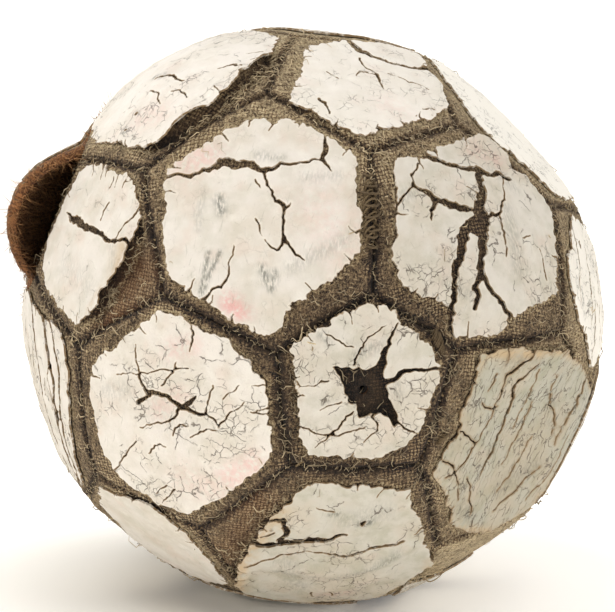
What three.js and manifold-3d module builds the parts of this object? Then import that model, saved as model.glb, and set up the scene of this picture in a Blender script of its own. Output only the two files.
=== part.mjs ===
// An old, deflated, hand-stitched football of thirty-two panels, in millimetres, +Z up.
// Twelve pentagons and twenty hexagons are sewn edge to edge round a slack rubber bladder.
// Each panel is one laminate: woven backing cloth that turns inwards at its seams, with what
// is left of a thicker painted coat standing on it as an island. One hexagon on the left has
// come unstitched on its near side and stands out as a flap. The ball has slumped: its panels
// are nearly flat, some corners have crept, one panel is dented, and it rests on a flat spot.

import * as THREE from "three";
import { mergeVertices } from "three/addons/utils/BufferGeometryUtils.js";
import Module from "manifold-3d";

// ---- driving dimensions ----
const CLOTH_RADIUS = 109;       // middle of the ball to the cloth at a panel's corners
const COAT_THICKNESS = 1;       // the painted coat above the cloth
const CLOTH_THICKNESS = 2.2;    // glued layers of woven backing
const FACET = 0.35;             // 0 is a round ball, 1 has perfectly flat panels
const SIT_HEIGHT = 104;         // middle of the ball above the floor
const SIT_ROUNDING = 1.2;       // how softly the flat spot blends into the ball
const SEAM_DEPTH = 2.4;         // how far a panel's edge turns inwards at its seam
const SEAM_SHOULDER = 4.5;      // where the turned edge starts, measured from the seam
const SEAM_CLEARANCE = 0.2;     // each panel's edge stops this short of the seam's middle
const COAT_MARGIN = { hexagon: 7.5, pentagon: 6.5 };  // bare cloth between seam and coat
const COAT_EDGE = 0.8;          // width of the coat's sloping broken edge
const EDGE_STEPS = 2;           // straight pieces along one edge of a panel
const HALF_WAY = 0.55;          // share of the way in from the seam for a panel's innermost loop

const VALVE_HOLE_RADIUS = 1.8;  // needle hole through the valve's panel
const BARE_RADIUS = 8;          // the coat has gone this far round the needle hole

const BLADDER_DEPTH = 8.4;      // bladder's outside below the cloth's surface
const BLADDER_WALL = 1.2;
const BLADDER_DETAIL = 5;       // how finely the bladder's icosahedron is divided
const SLACK_DEPTH = 0.8;        // height of the soft waves in the slack bladder
const SLACK_WAVES = 7;

const VALVE_FLANGE = { radius: 9, top: 3.2, bottom: 5.2 };   // depths below the cloth
const VALVE_STEM = { radius: 3.6, bottom: 24 };
const NEEDLE_CHANNEL = { radius: 0.9, bottom: 20 };
const NECK_RADIUS = 4;          // hole in the bladder that the valve's stem fills
const ROUND_SIDES = 20;

const THREAD_DEPTH = 6.1;       // middle of the sewing thread below the cloth's surface
const THREAD_HALF = 0.5;

// How the ball lies: the valve's direction and its turn about that direction, in degrees.
const VALVE_YAW = 9;            // from straight ahead (-Y) towards +X
const VALVE_PITCH = -6;         // above the horizon
const VALVE_SPIN = -6;          // the crown pentagon, from straight above

// Middle of the ball, for an origin under the middle of the whole at floor level.
const BALL_CENTRE = new THREE.Vector3(-0.305, 0.44, SIT_HEIGHT);

// The flap stands out from its neighbours, most at the middle of the edge that it shared with "left".
const FLAP_LIFT = 17;
const FLAP_BEND = 1.6;          // power by which the lift grows from the far edge
const FLAP_CURL = 0.7;          // share of the lift that is lost at that edge's two corners

// Bounds used to sort points, not sizes of the ball.
const NEIGHBOUR_REACH = 1.2;    // between two pentagons' unit directions that share a seam corner
const SAME_POINT = 1e-4;

// ---- names of the panels ----
const PENTAGONS = [
  "valve",
  "crown", "left", "left_foot", "right_foot", "right",
  "left_crown", "left_rear", "rear_foot", "right_rear", "right_crown",
  "rear",
];

// Each hexagon lies between three pentagons.
const HEXAGONS = {
  upper_left: ["valve", "crown", "left"],
  upper_right: ["valve", "right", "crown"],
  middle_left: ["valve", "left", "left_foot"],
  lower: ["valve", "left_foot", "right_foot"],
  dented: ["valve", "right_foot", "right"],
  left_shoulder: ["crown", "left", "left_crown"],
  left_side: ["left", "left_foot", "left_rear"],
  base: ["left_foot", "right_foot", "rear_foot"],
  right_side: ["right_foot", "right", "right_rear"],
  right_shoulder: ["right", "crown", "right_crown"],
  top: ["crown", "left_crown", "right_crown"],
  flap: ["left", "left_crown", "left_rear"],
  left_heel: ["left_foot", "left_rear", "rear_foot"],
  right_heel: ["right_foot", "rear_foot", "right_rear"],
  right_cheek: ["right", "right_rear", "right_crown"],
  rear_upper_left: ["rear", "left_crown", "left_rear"],
  rear_lower_left: ["rear", "left_rear", "rear_foot"],
  rear_lower_right: ["rear", "rear_foot", "right_rear"],
  rear_upper_right: ["rear", "right_rear", "right_crown"],
  rear_top: ["rear", "right_crown", "left_crown"],
};

// Seam corners that have crept: corner, what it has crept towards, and how far.
// A corner is named by its pentagon and the pentagon across the seam from it.
const CREEP_REACH = 24;
const CREEP = [
  [["valve", "crown"], ["valve"], 5.5],
  [["valve", "right"], ["valve", "crown"], 6],
  [["valve", "right_foot"], ["valve", "right"], 5],
  [["valve", "left_foot"], ["valve"], 2.5],
  [["valve", "left"], ["valve"], 6],
  [["crown", "valve"], ["crown", "left"], 2],
  [["right", "valve"], ["right", "right_foot"], 5.5],
  [["right_foot", "valve"], ["valve", "left_foot", "right_foot"], 3.5],
  [["left_foot", "valve"], ["left_foot"], 2],
  [["left", "valve"], ["valve", "left"], 5.5],
  [["crown", "left"], ["crown", "left_crown"], 2.5],
  [["left", "crown"], ["left"], 3.5],
  [["crown", "right"], ["crown", "valve"], 4],
  [["left_foot", "left"], ["left_foot", "left_rear"], 6],
  [["left", "left_foot"], ["left", "valve"], 4.5],
];

// Swells (outwards) and dents (inwards, below zero): middle, height, and reach in degrees.
const SWELLS = [
  [["crown", "left", "left_crown"], 7.5, 20],
  [["valve", "right_foot", "right"], -7, 15],
  [["right", "crown", "right_crown"], -3.5, 20],
  [["right_foot", "right", "right_rear"], 2.5, 20],
  [["rear", "right_rear", "right_crown"], -6, 17],
  [["rear", "left_rear", "rear_foot"], -3, 18],
  [["left_foot"], -2, 18],
];

// ---- materials ----
const COAT = new THREE.MeshStandardMaterial({ color: 0xe6e0d2, roughness: 0.7, metalness: 0 });
const BARE_CLOTH = new THREE.MeshStandardMaterial({ color: 0x6b5540, roughness: 0.95, metalness: 0 });
const RUBBER = new THREE.MeshStandardMaterial({ color: 0x2b2623, roughness: 0.8, metalness: 0 });
const THREAD = new THREE.MeshStandardMaterial({ color: 0x8a7657, roughness: 0.9, metalness: 0 });

// ---- where the panels' middles and corners are ----

// The twelve pentagons point along an icosahedron's corners: the valve's first, then a ring
// of five round it, a lower ring of five turned by half a step, and the rear one.
function pentagonAxes() {
  const height = 1 / Math.sqrt(5);
  const radius = 2 / Math.sqrt(5);
  const ring = (start, z) => [0, 1, 2, 3, 4].map((k) => {
    const angle = THREE.MathUtils.degToRad(start + 72 * k);
    return new THREE.Vector3(radius * Math.cos(angle), radius * Math.sin(angle), z);
  });
  return [new THREE.Vector3(0, 0, 1), ...ring(0, height), ...ring(36, -height), new THREE.Vector3(0, 0, -1)];
}

const AXES = Object.fromEntries(pentagonAxes().map((axis, k) => [PENTAGONS[k], axis]));

// One name gives a pentagon's middle, two a seam corner, three a hexagon's middle.
// A corner lies a third of the way along the icosahedron's edge.
function place(...names) {
  const weights = names.length === 2 ? [2, 1] : names.map(() => 1);
  const sum = new THREE.Vector3();
  names.forEach((name, k) => sum.addScaledVector(AXES[name], weights[k]));
  return sum.normalize();
}

// The corners of a panel, as pairs of pentagon names, anticlockwise from outside.
function pentagonCorners(name) {
  const middle = AXES[name];
  const isNear = (other) => other !== name && AXES[other].distanceTo(middle) < NEIGHBOUR_REACH;
  const neighbours = PENTAGONS.filter(isNear);
  const x = AXES[neighbours[0]].clone().projectOnPlane(middle).normalize();
  const y = middle.clone().cross(x);
  const turn = (other) => Math.atan2(AXES[other].dot(y), AXES[other].dot(x));
  return neighbours.sort((a, b) => turn(a) - turn(b)).map((other) => [name, other]);
}

function hexagonCorners([a, b, c]) {
  const normal = AXES[b].clone().sub(AXES[a]).cross(AXES[c].clone().sub(AXES[a]));
  if (normal.dot(AXES[a]) < 0) {
    [b, c] = [c, b];
  }
  return [[a, b], [b, a], [b, c], [c, b], [c, a], [a, c]];
}

const PANELS = [
  ...PENTAGONS.map((name) => ({ name, kind: "pentagon", middle: place(name), corners: pentagonCorners(name) })),
  ...Object.entries(HEXAGONS).map(([name, around]) => (
    { name, kind: "hexagon", middle: place(...around), corners: hexagonCorners(around) }
  )),
];

// A flat panel's distance from the ball's middle, as a share of its corners' distance.
for (const panel of PANELS) {
  panel.inradius = panel.middle.dot(place(...panel.corners[0]));
}

// ---- the slumped ball's form ----

// Ball axes (valve along +Z, crown pentagon over +X) turned to how the ball lies.
function lie() {
  const yaw = THREE.MathUtils.degToRad(VALVE_YAW);
  const pitch = THREE.MathUtils.degToRad(VALVE_PITCH);
  const spin = THREE.MathUtils.degToRad(VALVE_SPIN);
  const valve = new THREE.Vector3(
    Math.sin(yaw) * Math.cos(pitch),
    -Math.cos(yaw) * Math.cos(pitch),
    Math.sin(pitch),
  );
  const up = new THREE.Vector3(0, 0, 1).projectOnPlane(valve).normalize();
  const side = valve.clone().cross(up);
  const crown = up.multiplyScalar(Math.cos(spin)).addScaledVector(side, Math.sin(spin));
  return new THREE.Matrix4().makeBasis(crown, valve.clone().cross(crown), valve);
}

const LIE = lie();

// Distance from the middle: part way between a round ball and one with flat panels.
function facetedRadius(direction) {
  const nearest = Math.max(...PANELS.map((panel) => direction.dot(panel.middle) / panel.inradius));
  let radius = CLOTH_RADIUS * (1 - FACET * (1 - 1 / nearest));
  for (const [names, height, reach] of SWELLS) {
    const angle = THREE.MathUtils.radToDeg(direction.angleTo(place(...names)));
    radius += height * Math.exp(-((angle / reach) ** 2));
  }
  return radius;
}

// A direction moved by the crept seam corners near it.
function crept(direction) {
  const moved = direction.clone();
  for (const [corner, towards, distance] of CREEP) {
    const from = place(...corner);
    const pull = Math.exp(-((direction.distanceTo(from) * CLOTH_RADIUS / CREEP_REACH) ** 2));
    const way = place(...towards).projectOnPlane(from).normalize();
    moved.addScaledVector(way, pull * distance / CLOTH_RADIUS);
  }
  return moved.normalize();
}

// The larger of two values, rounded off where they meet and exact away from there.
function softLarger(a, b, rounding) {
  const near = Math.max(rounding - Math.abs(a - b), 0) / rounding;
  return Math.max(a, b) + near * near * rounding / 4;
}

// The point over a direction in ball axes, at a height above (or below) the cloth's surface.
// No layer goes below the floor that the coat rests on.
function onBall(direction, height) {
  const point = crept(direction).multiplyScalar(facetedRadius(direction) + height).applyMatrix4(LIE);
  point.z = softLarger(point.z, COAT_THICKNESS - height - SIT_HEIGHT, SIT_ROUNDING);
  return point;
}

// ---- solids ----

// A closed body from points and triangles.
function solid(points, triangles) {
  const geometry = new THREE.BufferGeometry();
  geometry.setAttribute("position", new THREE.Float32BufferAttribute(points.flatMap((p) => p.toArray()), 3));
  geometry.setIndex(triangles.flat());
  geometry.computeVertexNormals();
  return geometry;
}

// Loops of equal length joined by bands, the first loop outermost on the outside of the panel.
// The chain closes on itself at the panel's edge, and ends in a point or at the needle hole.
function loopedSolid(outside, inside, outsideTip, insideTip) {
  const loops = [...outside, ...inside];
  const count = loops[0].length;
  const points = loops.flat();
  const triangles = [];
  const band = (a, b) => {
    for (let k = 0; k < count; k++) {
      const next = (k + 1) % count;
      triangles.push([a * count + k, a * count + next, b * count + next]);
      triangles.push([a * count + k, b * count + next, b * count + k]);
    }
  };
  const last = loops.length - 1;
  for (let k = 0; k < last; k++) {
    if (k !== outside.length - 1 || !outsideTip) {
      band(k, k + 1);
    }
  }
  band(last, 0);
  if (outsideTip) {
    const tip = points.push(outsideTip) - 1;
    const ring = (outside.length - 1) * count;
    for (let k = 0; k < count; k++) {
      triangles.push([ring + k, ring + (k + 1) % count, tip]);
    }
    const innerTip = points.push(insideTip) - 1;
    const innerRing = outside.length * count;
    for (let k = 0; k < count; k++) {
      triangles.push([innerRing + (k + 1) % count, innerRing + k, innerTip]);
    }
  }
  return solid(points, triangles);
}

// A panel's outline as flat points, EDGE_STEPS to each edge.
function outline(panel) {
  const corners = panel.corners.map((corner) => place(...corner));
  return corners.flatMap((corner, k) => {
    const next = corners[(k + 1) % corners.length];
    return Array.from({ length: EDGE_STEPS }, (_, step) => corner.clone().lerp(next, step / EDGE_STEPS));
  });
}

// How far along the way from one direction to another a third one lies, as a share.
function shareOfWay(direction, from, to) {
  const way = to.clone().sub(from);
  return direction.clone().sub(from).dot(way) / way.lengthSq();
}

// How far the flap has lifted over a direction: nothing along its far edge, growing to the edge
// nearest "left", and less towards that edge's two corners.
function flapLift(direction) {
  const [top, bottom] = [place("left", "left_crown"), place("left", "left_rear")];
  const near = top.clone().add(bottom).normalize();
  const far = place("left_crown", "left_rear").add(place("left_rear", "left_crown")).normalize();
  const share = Math.max(shareOfWay(direction, far, near), 0);
  const side = 2 * shareOfWay(direction, bottom, top) - 1;
  return FLAP_LIFT * share ** FLAP_BEND * Math.max(1 - FLAP_CURL * side * side, 0);
}

// One panel. A loop is the outline shrunk to a distance from the seam, at a height above the cloth.
function panelSolid(panel) {
  const flatMiddle = panel.middle.clone().multiplyScalar(panel.inradius);
  const edge = outline(panel);
  const seamDistance = edge[EDGE_STEPS / 2].distanceTo(flatMiddle) * CLOTH_RADIUS;
  const lift = panel.name === "flap" ? flapLift : () => 0;
  const raised = (direction, height) => {
    const point = onBall(direction, height);
    return point.addScaledVector(point.clone().normalize(), lift(direction));
  };
  const loop = (distance, height) => edge.map((point) => {
    const share = 1 - distance / seamDistance;
    return raised(flatMiddle.clone().lerp(point, share).normalize(), height);
  });
  const circle = (radius, height) => edge.map((point) => {
    const away = point.clone().sub(flatMiddle).setLength(radius / CLOTH_RADIUS);
    return raised(flatMiddle.clone().add(away).normalize(), height);
  });
  const margin = COAT_MARGIN[panel.kind];
  const halfWay = seamDistance * HALF_WAY;
  const outside = [
    loop(SEAM_CLEARANCE, -SEAM_DEPTH),
    loop(SEAM_SHOULDER, 0),
    loop(margin, 0),
    loop(margin + COAT_EDGE, COAT_THICKNESS),
  ];
  const inside = [
    loop(SEAM_SHOULDER, -CLOTH_THICKNESS),
    loop(SEAM_CLEARANCE, -SEAM_DEPTH - CLOTH_THICKNESS),
  ];
  if (panel.name === "valve") {
    outside.push(circle(BARE_RADIUS, COAT_THICKNESS), circle(BARE_RADIUS - COAT_EDGE, 0));
    outside.push(circle(VALVE_HOLE_RADIUS, 0));
    inside.unshift(circle(VALVE_HOLE_RADIUS, -CLOTH_THICKNESS));
    return loopedSolid(outside, inside);
  }
  outside.push(loop(halfWay, COAT_THICKNESS));
  inside.unshift(loop(halfWay, -CLOTH_THICKNESS));
  return loopedSolid(
    outside,
    inside,
    raised(panel.middle, COAT_THICKNESS),
    raised(panel.middle, -CLOTH_THICKNESS),
  );
}

// ---- booleans ----
const wasm = await Module();
wasm.setup();

function toManifold(geometry) {
  const bare = geometry.clone();
  bare.deleteAttribute("normal");
  bare.deleteAttribute("uv");
  const merged = mergeVertices(bare, SAME_POINT);
  const vertProperties = new Float32Array(merged.attributes.position.array);
  const triVerts = new Uint32Array(merged.index.array);
  return new wasm.Manifold(new wasm.Mesh({ numProp: 3, vertProperties, triVerts }));
}

function fromManifold(body) {
  const { vertProperties, triVerts } = body.getMesh();
  const geometry = new THREE.BufferGeometry();
  geometry.setAttribute("position", new THREE.BufferAttribute(new Float32Array(vertProperties), 3));
  geometry.setIndex(new THREE.BufferAttribute(new Uint32Array(triVerts), 1));
  geometry.computeVertexNormals();
  return geometry;
}

// ---- bladder ----

const VALVE_WAY = AXES.valve.clone().applyMatrix4(LIE);
const VALVE_PLACE = onBall(AXES.valve, 0);

// A divided icosahedron laid on the ball's form at a depth, with the slack wall's soft waves.
function bladderSkin(depth) {
  const skin = new THREE.IcosahedronGeometry(1, BLADDER_DETAIL);
  const position = skin.attributes.position;
  for (let k = 0; k < position.count; k++) {
    const direction = new THREE.Vector3().fromBufferAttribute(position, k).normalize();
    const wave = Math.sin(SLACK_WAVES * direction.x) * Math.cos(SLACK_WAVES * direction.y);
    const point = onBall(direction, -depth - SLACK_DEPTH * (1 + wave));
    position.setXYZ(k, point.x, point.y, point.z);
  }
  return skin;
}

// A round bar along the valve's axis, between two depths below the cloth.
function valveBar(radius, top, bottom) {
  const bar = new THREE.CylinderGeometry(radius, radius, bottom - top, ROUND_SIDES);
  bar.applyQuaternion(new THREE.Quaternion().setFromUnitVectors(new THREE.Vector3(0, 1, 0), VALVE_WAY));
  const middle = VALVE_PLACE.clone().addScaledVector(VALVE_WAY, -(top + bottom) / 2);
  return bar.translate(middle.x, middle.y, middle.z);
}

// A thin slack shell, open at the neck where the valve's stem goes through.
function bladderSolid() {
  const shell = toManifold(bladderSkin(BLADDER_DEPTH)).subtract(toManifold(bladderSkin(BLADDER_DEPTH + BLADDER_WALL)));
  return fromManifold(shell.subtract(toManifold(valveBar(NECK_RADIUS, 0, VALVE_STEM.bottom))));
}

// ---- valve ----

// A rubber plug turned about its axis: a wide flange under the panel, a stem into the bladder,
// and a blind channel for the needle.
function valveGeometry() {
  const profile = [
    [0, -NEEDLE_CHANNEL.bottom],
    [NEEDLE_CHANNEL.radius, -NEEDLE_CHANNEL.bottom],
    [NEEDLE_CHANNEL.radius, -VALVE_FLANGE.top],
    [VALVE_FLANGE.radius, -VALVE_FLANGE.top],
    [VALVE_FLANGE.radius, -VALVE_FLANGE.bottom],
    [VALVE_STEM.radius, -VALVE_FLANGE.bottom],
    [VALVE_STEM.radius, -VALVE_STEM.bottom],
    [0, -VALVE_STEM.bottom],
  ];
  const points = profile.map(([radius, height]) => new THREE.Vector2(radius, height)).reverse();
  return new THREE.LatheGeometry(points, ROUND_SIDES);
}

// ---- sewing thread ----

// The three seams that the flap has lost.
const OPEN_SIDES = ["left", "left_shoulder", "left_side"];
const isOpen = (a, b) => (
  (a.name === "flap" && OPEN_SIDES.includes(b.name)) || (b.name === "flap" && OPEN_SIDES.includes(a.name))
);

// The thread runs inside the ball under every seam that still holds, as one net. Its section is
// a triangle: a ridge over the seam and a foot on each side of it. The feet of three seams
// meet in a corner's small inner face, and a lost seam leaves a cut end.
function threadSolid() {
  const leftOf = new Map();
  for (const panel of PANELS) {
    panel.corners.forEach((corner, k) => {
      leftOf.set(`${corner} ${panel.corners[(k + 1) % panel.corners.length]}`, panel);
    });
  }
  const points = [];
  const known = new Map();
  const pointAt = (station, panel) => {
    const key = `${station.name} ${panel ? panel.name : "ridge"}`;
    if (!known.has(key)) {
      const direction = station.direction.clone();
      if (panel) {
        const inwards = panel.middle.clone().projectOnPlane(direction).normalize();
        direction.addScaledVector(inwards, THREAD_HALF / CLOTH_RADIUS).normalize();
      }
      const height = (panel ? -THREAD_HALF : THREAD_HALF) - THREAD_DEPTH;
      known.set(key, points.push(onBall(direction, height)) - 1);
    }
    return known.get(key);
  };
  const cornerStation = (corner) => ({ name: `${corner}`, direction: place(...corner) });
  const middleStation = (a, b) => (
    { name: [`${a}`, `${b}`].sort().join(" "), direction: place(...a).add(place(...b)).normalize() }
  );
  const triangles = [];
  for (const panel of PANELS) {
    panel.corners.forEach((corner, k) => {
      const next = panel.corners[(k + 1) % panel.corners.length];
      const across = leftOf.get(`${next} ${corner}`);
      const stations = [cornerStation(corner), middleStation(corner, next), cornerStation(next)];
      if (panel.kind === "pentagon") {
        const beyond = leftOf.get(`${corner} ${panel.corners.at(k - 1)}`);
        triangles.push([beyond, panel, across].map((around) => pointAt(stations[0], around)));
      }
      if (isOpen(panel, across)) {
        triangles.push([pointAt(stations[0]), pointAt(stations[0], across), pointAt(stations[0], panel)]);
        return;
      }
      for (const [from, to] of [[stations[0], stations[1]], [stations[1], stations[2]]]) {
        const [a, b] = [pointAt(from, panel), pointAt(to, panel)];
        triangles.push([pointAt(from), pointAt(to), b], [pointAt(from), b, a]);
        if (PANELS.indexOf(panel) < PANELS.indexOf(across)) {
          triangles.push([a, b, pointAt(to, across)], [a, pointAt(to, across), pointAt(from, across)]);
        }
      }
    });
  }
  return solid(points, triangles);
}

// ---- assembly ----
const ball = new THREE.Group();
ball.position.copy(BALL_CENTRE);

function addMesh(name, geometry, material) {
  const mesh = new THREE.Mesh(geometry, material.clone());
  mesh.name = name;
  ball.add(mesh);
  return mesh;
}

for (const panel of PANELS) {
  const material = panel.name === "flap" ? BARE_CLOTH : COAT;
  addMesh(`${panel.name}_${panel.kind}`, panelSolid(panel), material);
}
addMesh("bladder", bladderSolid(), RUBBER);
const valve = addMesh("valve_plug", valveGeometry(), RUBBER);
valve.quaternion.setFromUnitVectors(new THREE.Vector3(0, 1, 0), VALVE_WAY);
valve.position.copy(VALVE_PLACE);
addMesh("seam_thread", threadSolid(), THREAD);

const football = new THREE.Group();
football.add(ball);

export default football;
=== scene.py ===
"""An old, deflated, hand-stitched football: the looks, built round its solid model.

Each of the thirty-two panels is a laminate. A woven cloth turns inwards at its seams, and what is
left of a painted coat lies on it: cracked, chipped back from the seams, lifted at some edges.
Twine crosses the seams, torn fibres curl out of the cloth, and a slack bladder lies inside.
All shapes are worked out in millimetres and become metres when their mesh is made.
"""
from itertools import product

import bpy
import numpy as np
from mathutils import Matrix, Vector


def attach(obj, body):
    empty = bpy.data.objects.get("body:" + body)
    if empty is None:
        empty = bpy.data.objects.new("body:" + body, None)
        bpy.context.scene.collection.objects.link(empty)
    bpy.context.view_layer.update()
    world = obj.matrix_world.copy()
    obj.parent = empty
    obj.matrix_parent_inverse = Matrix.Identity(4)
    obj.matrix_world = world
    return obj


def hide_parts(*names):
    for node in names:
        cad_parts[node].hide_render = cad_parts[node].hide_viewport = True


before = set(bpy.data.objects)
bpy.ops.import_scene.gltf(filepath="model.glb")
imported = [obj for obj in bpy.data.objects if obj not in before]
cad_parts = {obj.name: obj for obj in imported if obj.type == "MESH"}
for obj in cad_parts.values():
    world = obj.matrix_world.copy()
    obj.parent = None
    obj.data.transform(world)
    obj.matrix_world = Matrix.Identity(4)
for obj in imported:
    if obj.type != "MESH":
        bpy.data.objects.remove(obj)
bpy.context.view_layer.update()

# ---- the ball's driving dimensions, in millimetres and degrees ----
CLOTH_RADIUS = 109.0        # middle of the ball to the cloth at a panel's corners
COAT_THICKNESS = 1.0
CLOTH_THICKNESS = 2.2
FACET = 0.35                # 0 is a round ball, 1 has perfectly flat panels
SIT_HEIGHT = 104.0          # middle of the ball above the floor
SIT_ROUNDING = 1.2
BALL_CENTRE = np.array([-0.305, 0.44, SIT_HEIGHT])
VALVE_YAW, VALVE_PITCH, VALVE_SPIN = 9, -6, -6      # rounded from a separate program's fit
SEAM_DEPTH = 2.4            # how far a panel's edge turns inwards at its seam
SEAM_ROLL = 3.6             # width of the rolled edge beside a seam
SEAM_CLEARANCE = 0.15
FLAP_LIFT = 17.0            # how far the torn panel stands out on its near side
FLAP_BEND = 1.6             # power by which that grows from its far side
FLAP_CURL = 0.7             # share of it that is lost at the near side's two corners
NEEDLE_HOLE = 1.8           # radius of the valve's hole
BLADDER_DEPTH = 8.4
BLADDER_WALL = 1.2
NECK_RADIUS = 4.0           # hole in the bladder that the valve's stem fills

# ---- finish dimensions ----
FINE_CELL, COARSE_CELL = 0.85, 1.6      # lattice of the coat on the front and on the other panels
LATTICE_HALF = 46           # half the side of a square that holds any panel's coat
SCATTER_HALF = 47           # and of one that holds all of any panel
WEAVE_PITCH = 1.3
STITCH_PITCH = 4.6
FLOOR_GAP = 0.3             # the least height of a fibre's middle line above the floor
METRE = 1000.0              # millimetres in a metre

PENTAGONS = ["valve", "crown", "left", "left_foot", "right_foot", "right",
             "left_crown", "left_rear", "rear_foot", "right_rear", "right_crown", "rear"]
HEXAGONS = {
    "upper_left": ("valve", "crown", "left"),
    "upper_right": ("valve", "right", "crown"),
    "middle_left": ("valve", "left", "left_foot"),
    "lower": ("valve", "left_foot", "right_foot"),
    "dented": ("valve", "right_foot", "right"),
    "left_shoulder": ("crown", "left", "left_crown"),
    "left_side": ("left", "left_foot", "left_rear"),
    "base": ("left_foot", "right_foot", "rear_foot"),
    "right_side": ("right_foot", "right", "right_rear"),
    "right_shoulder": ("right", "crown", "right_crown"),
    "top": ("crown", "left_crown", "right_crown"),
    "flap": ("left", "left_crown", "left_rear"),
    "left_heel": ("left_foot", "left_rear", "rear_foot"),
    "right_heel": ("right_foot", "rear_foot", "right_rear"),
    "right_cheek": ("right", "right_rear", "right_crown"),
    "rear_upper_left": ("rear", "left_crown", "left_rear"),
    "rear_lower_left": ("rear", "left_rear", "rear_foot"),
    "rear_lower_right": ("rear", "rear_foot", "right_rear"),
    "rear_upper_right": ("rear", "right_rear", "right_crown"),
    "rear_top": ("rear", "right_crown", "left_crown"),
}
FRONT = ("valve", "crown", "left", "right", "left_foot", "upper_left", "upper_right", "middle_left",
         "lower", "dented", "left_shoulder")

# Seam corners that have crept: corner, what it has crept towards, and how far. A separate program
# worked these rows out, and they are its results rounded to half millimetres.
CREEP_REACH = 24.0
CREEP = [
    (("valve", "crown"), ("valve",), 5.5),
    (("valve", "right"), ("valve", "crown"), 6),
    (("valve", "right_foot"), ("valve", "right"), 5),
    (("valve", "left_foot"), ("valve",), 2.5),
    (("valve", "left"), ("valve",), 6),
    (("crown", "valve"), ("crown", "left"), 2),
    (("right", "valve"), ("right", "right_foot"), 5.5),
    (("right_foot", "valve"), ("valve", "left_foot", "right_foot"), 3.5),
    (("left_foot", "valve"), ("left_foot",), 2),
    (("left", "valve"), ("valve", "left"), 5.5),
    (("crown", "left"), ("crown", "left_crown"), 2.5),
    (("left", "crown"), ("left",), 3.5),
    (("crown", "right"), ("crown", "valve"), 4),
    (("left_foot", "left"), ("left_foot", "left_rear"), 6),
    (("left", "left_foot"), ("left", "valve"), 4.5),
]
# Swells (outwards) and dents (inwards, below zero): middle, height, and reach in degrees.
SWELLS = [
    (("crown", "left", "left_crown"), 7.5, 20),
    (("valve", "right_foot", "right"), -7, 15),
    (("right", "crown", "right_crown"), -3.5, 20),
    (("right_foot", "right", "right_rear"), 2.5, 20),
    (("rear", "right_rear", "right_crown"), -6, 17),
    (("rear", "left_rear", "rear_foot"), -3, 18),
    (("left_foot",), -2, 18),
]

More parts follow.
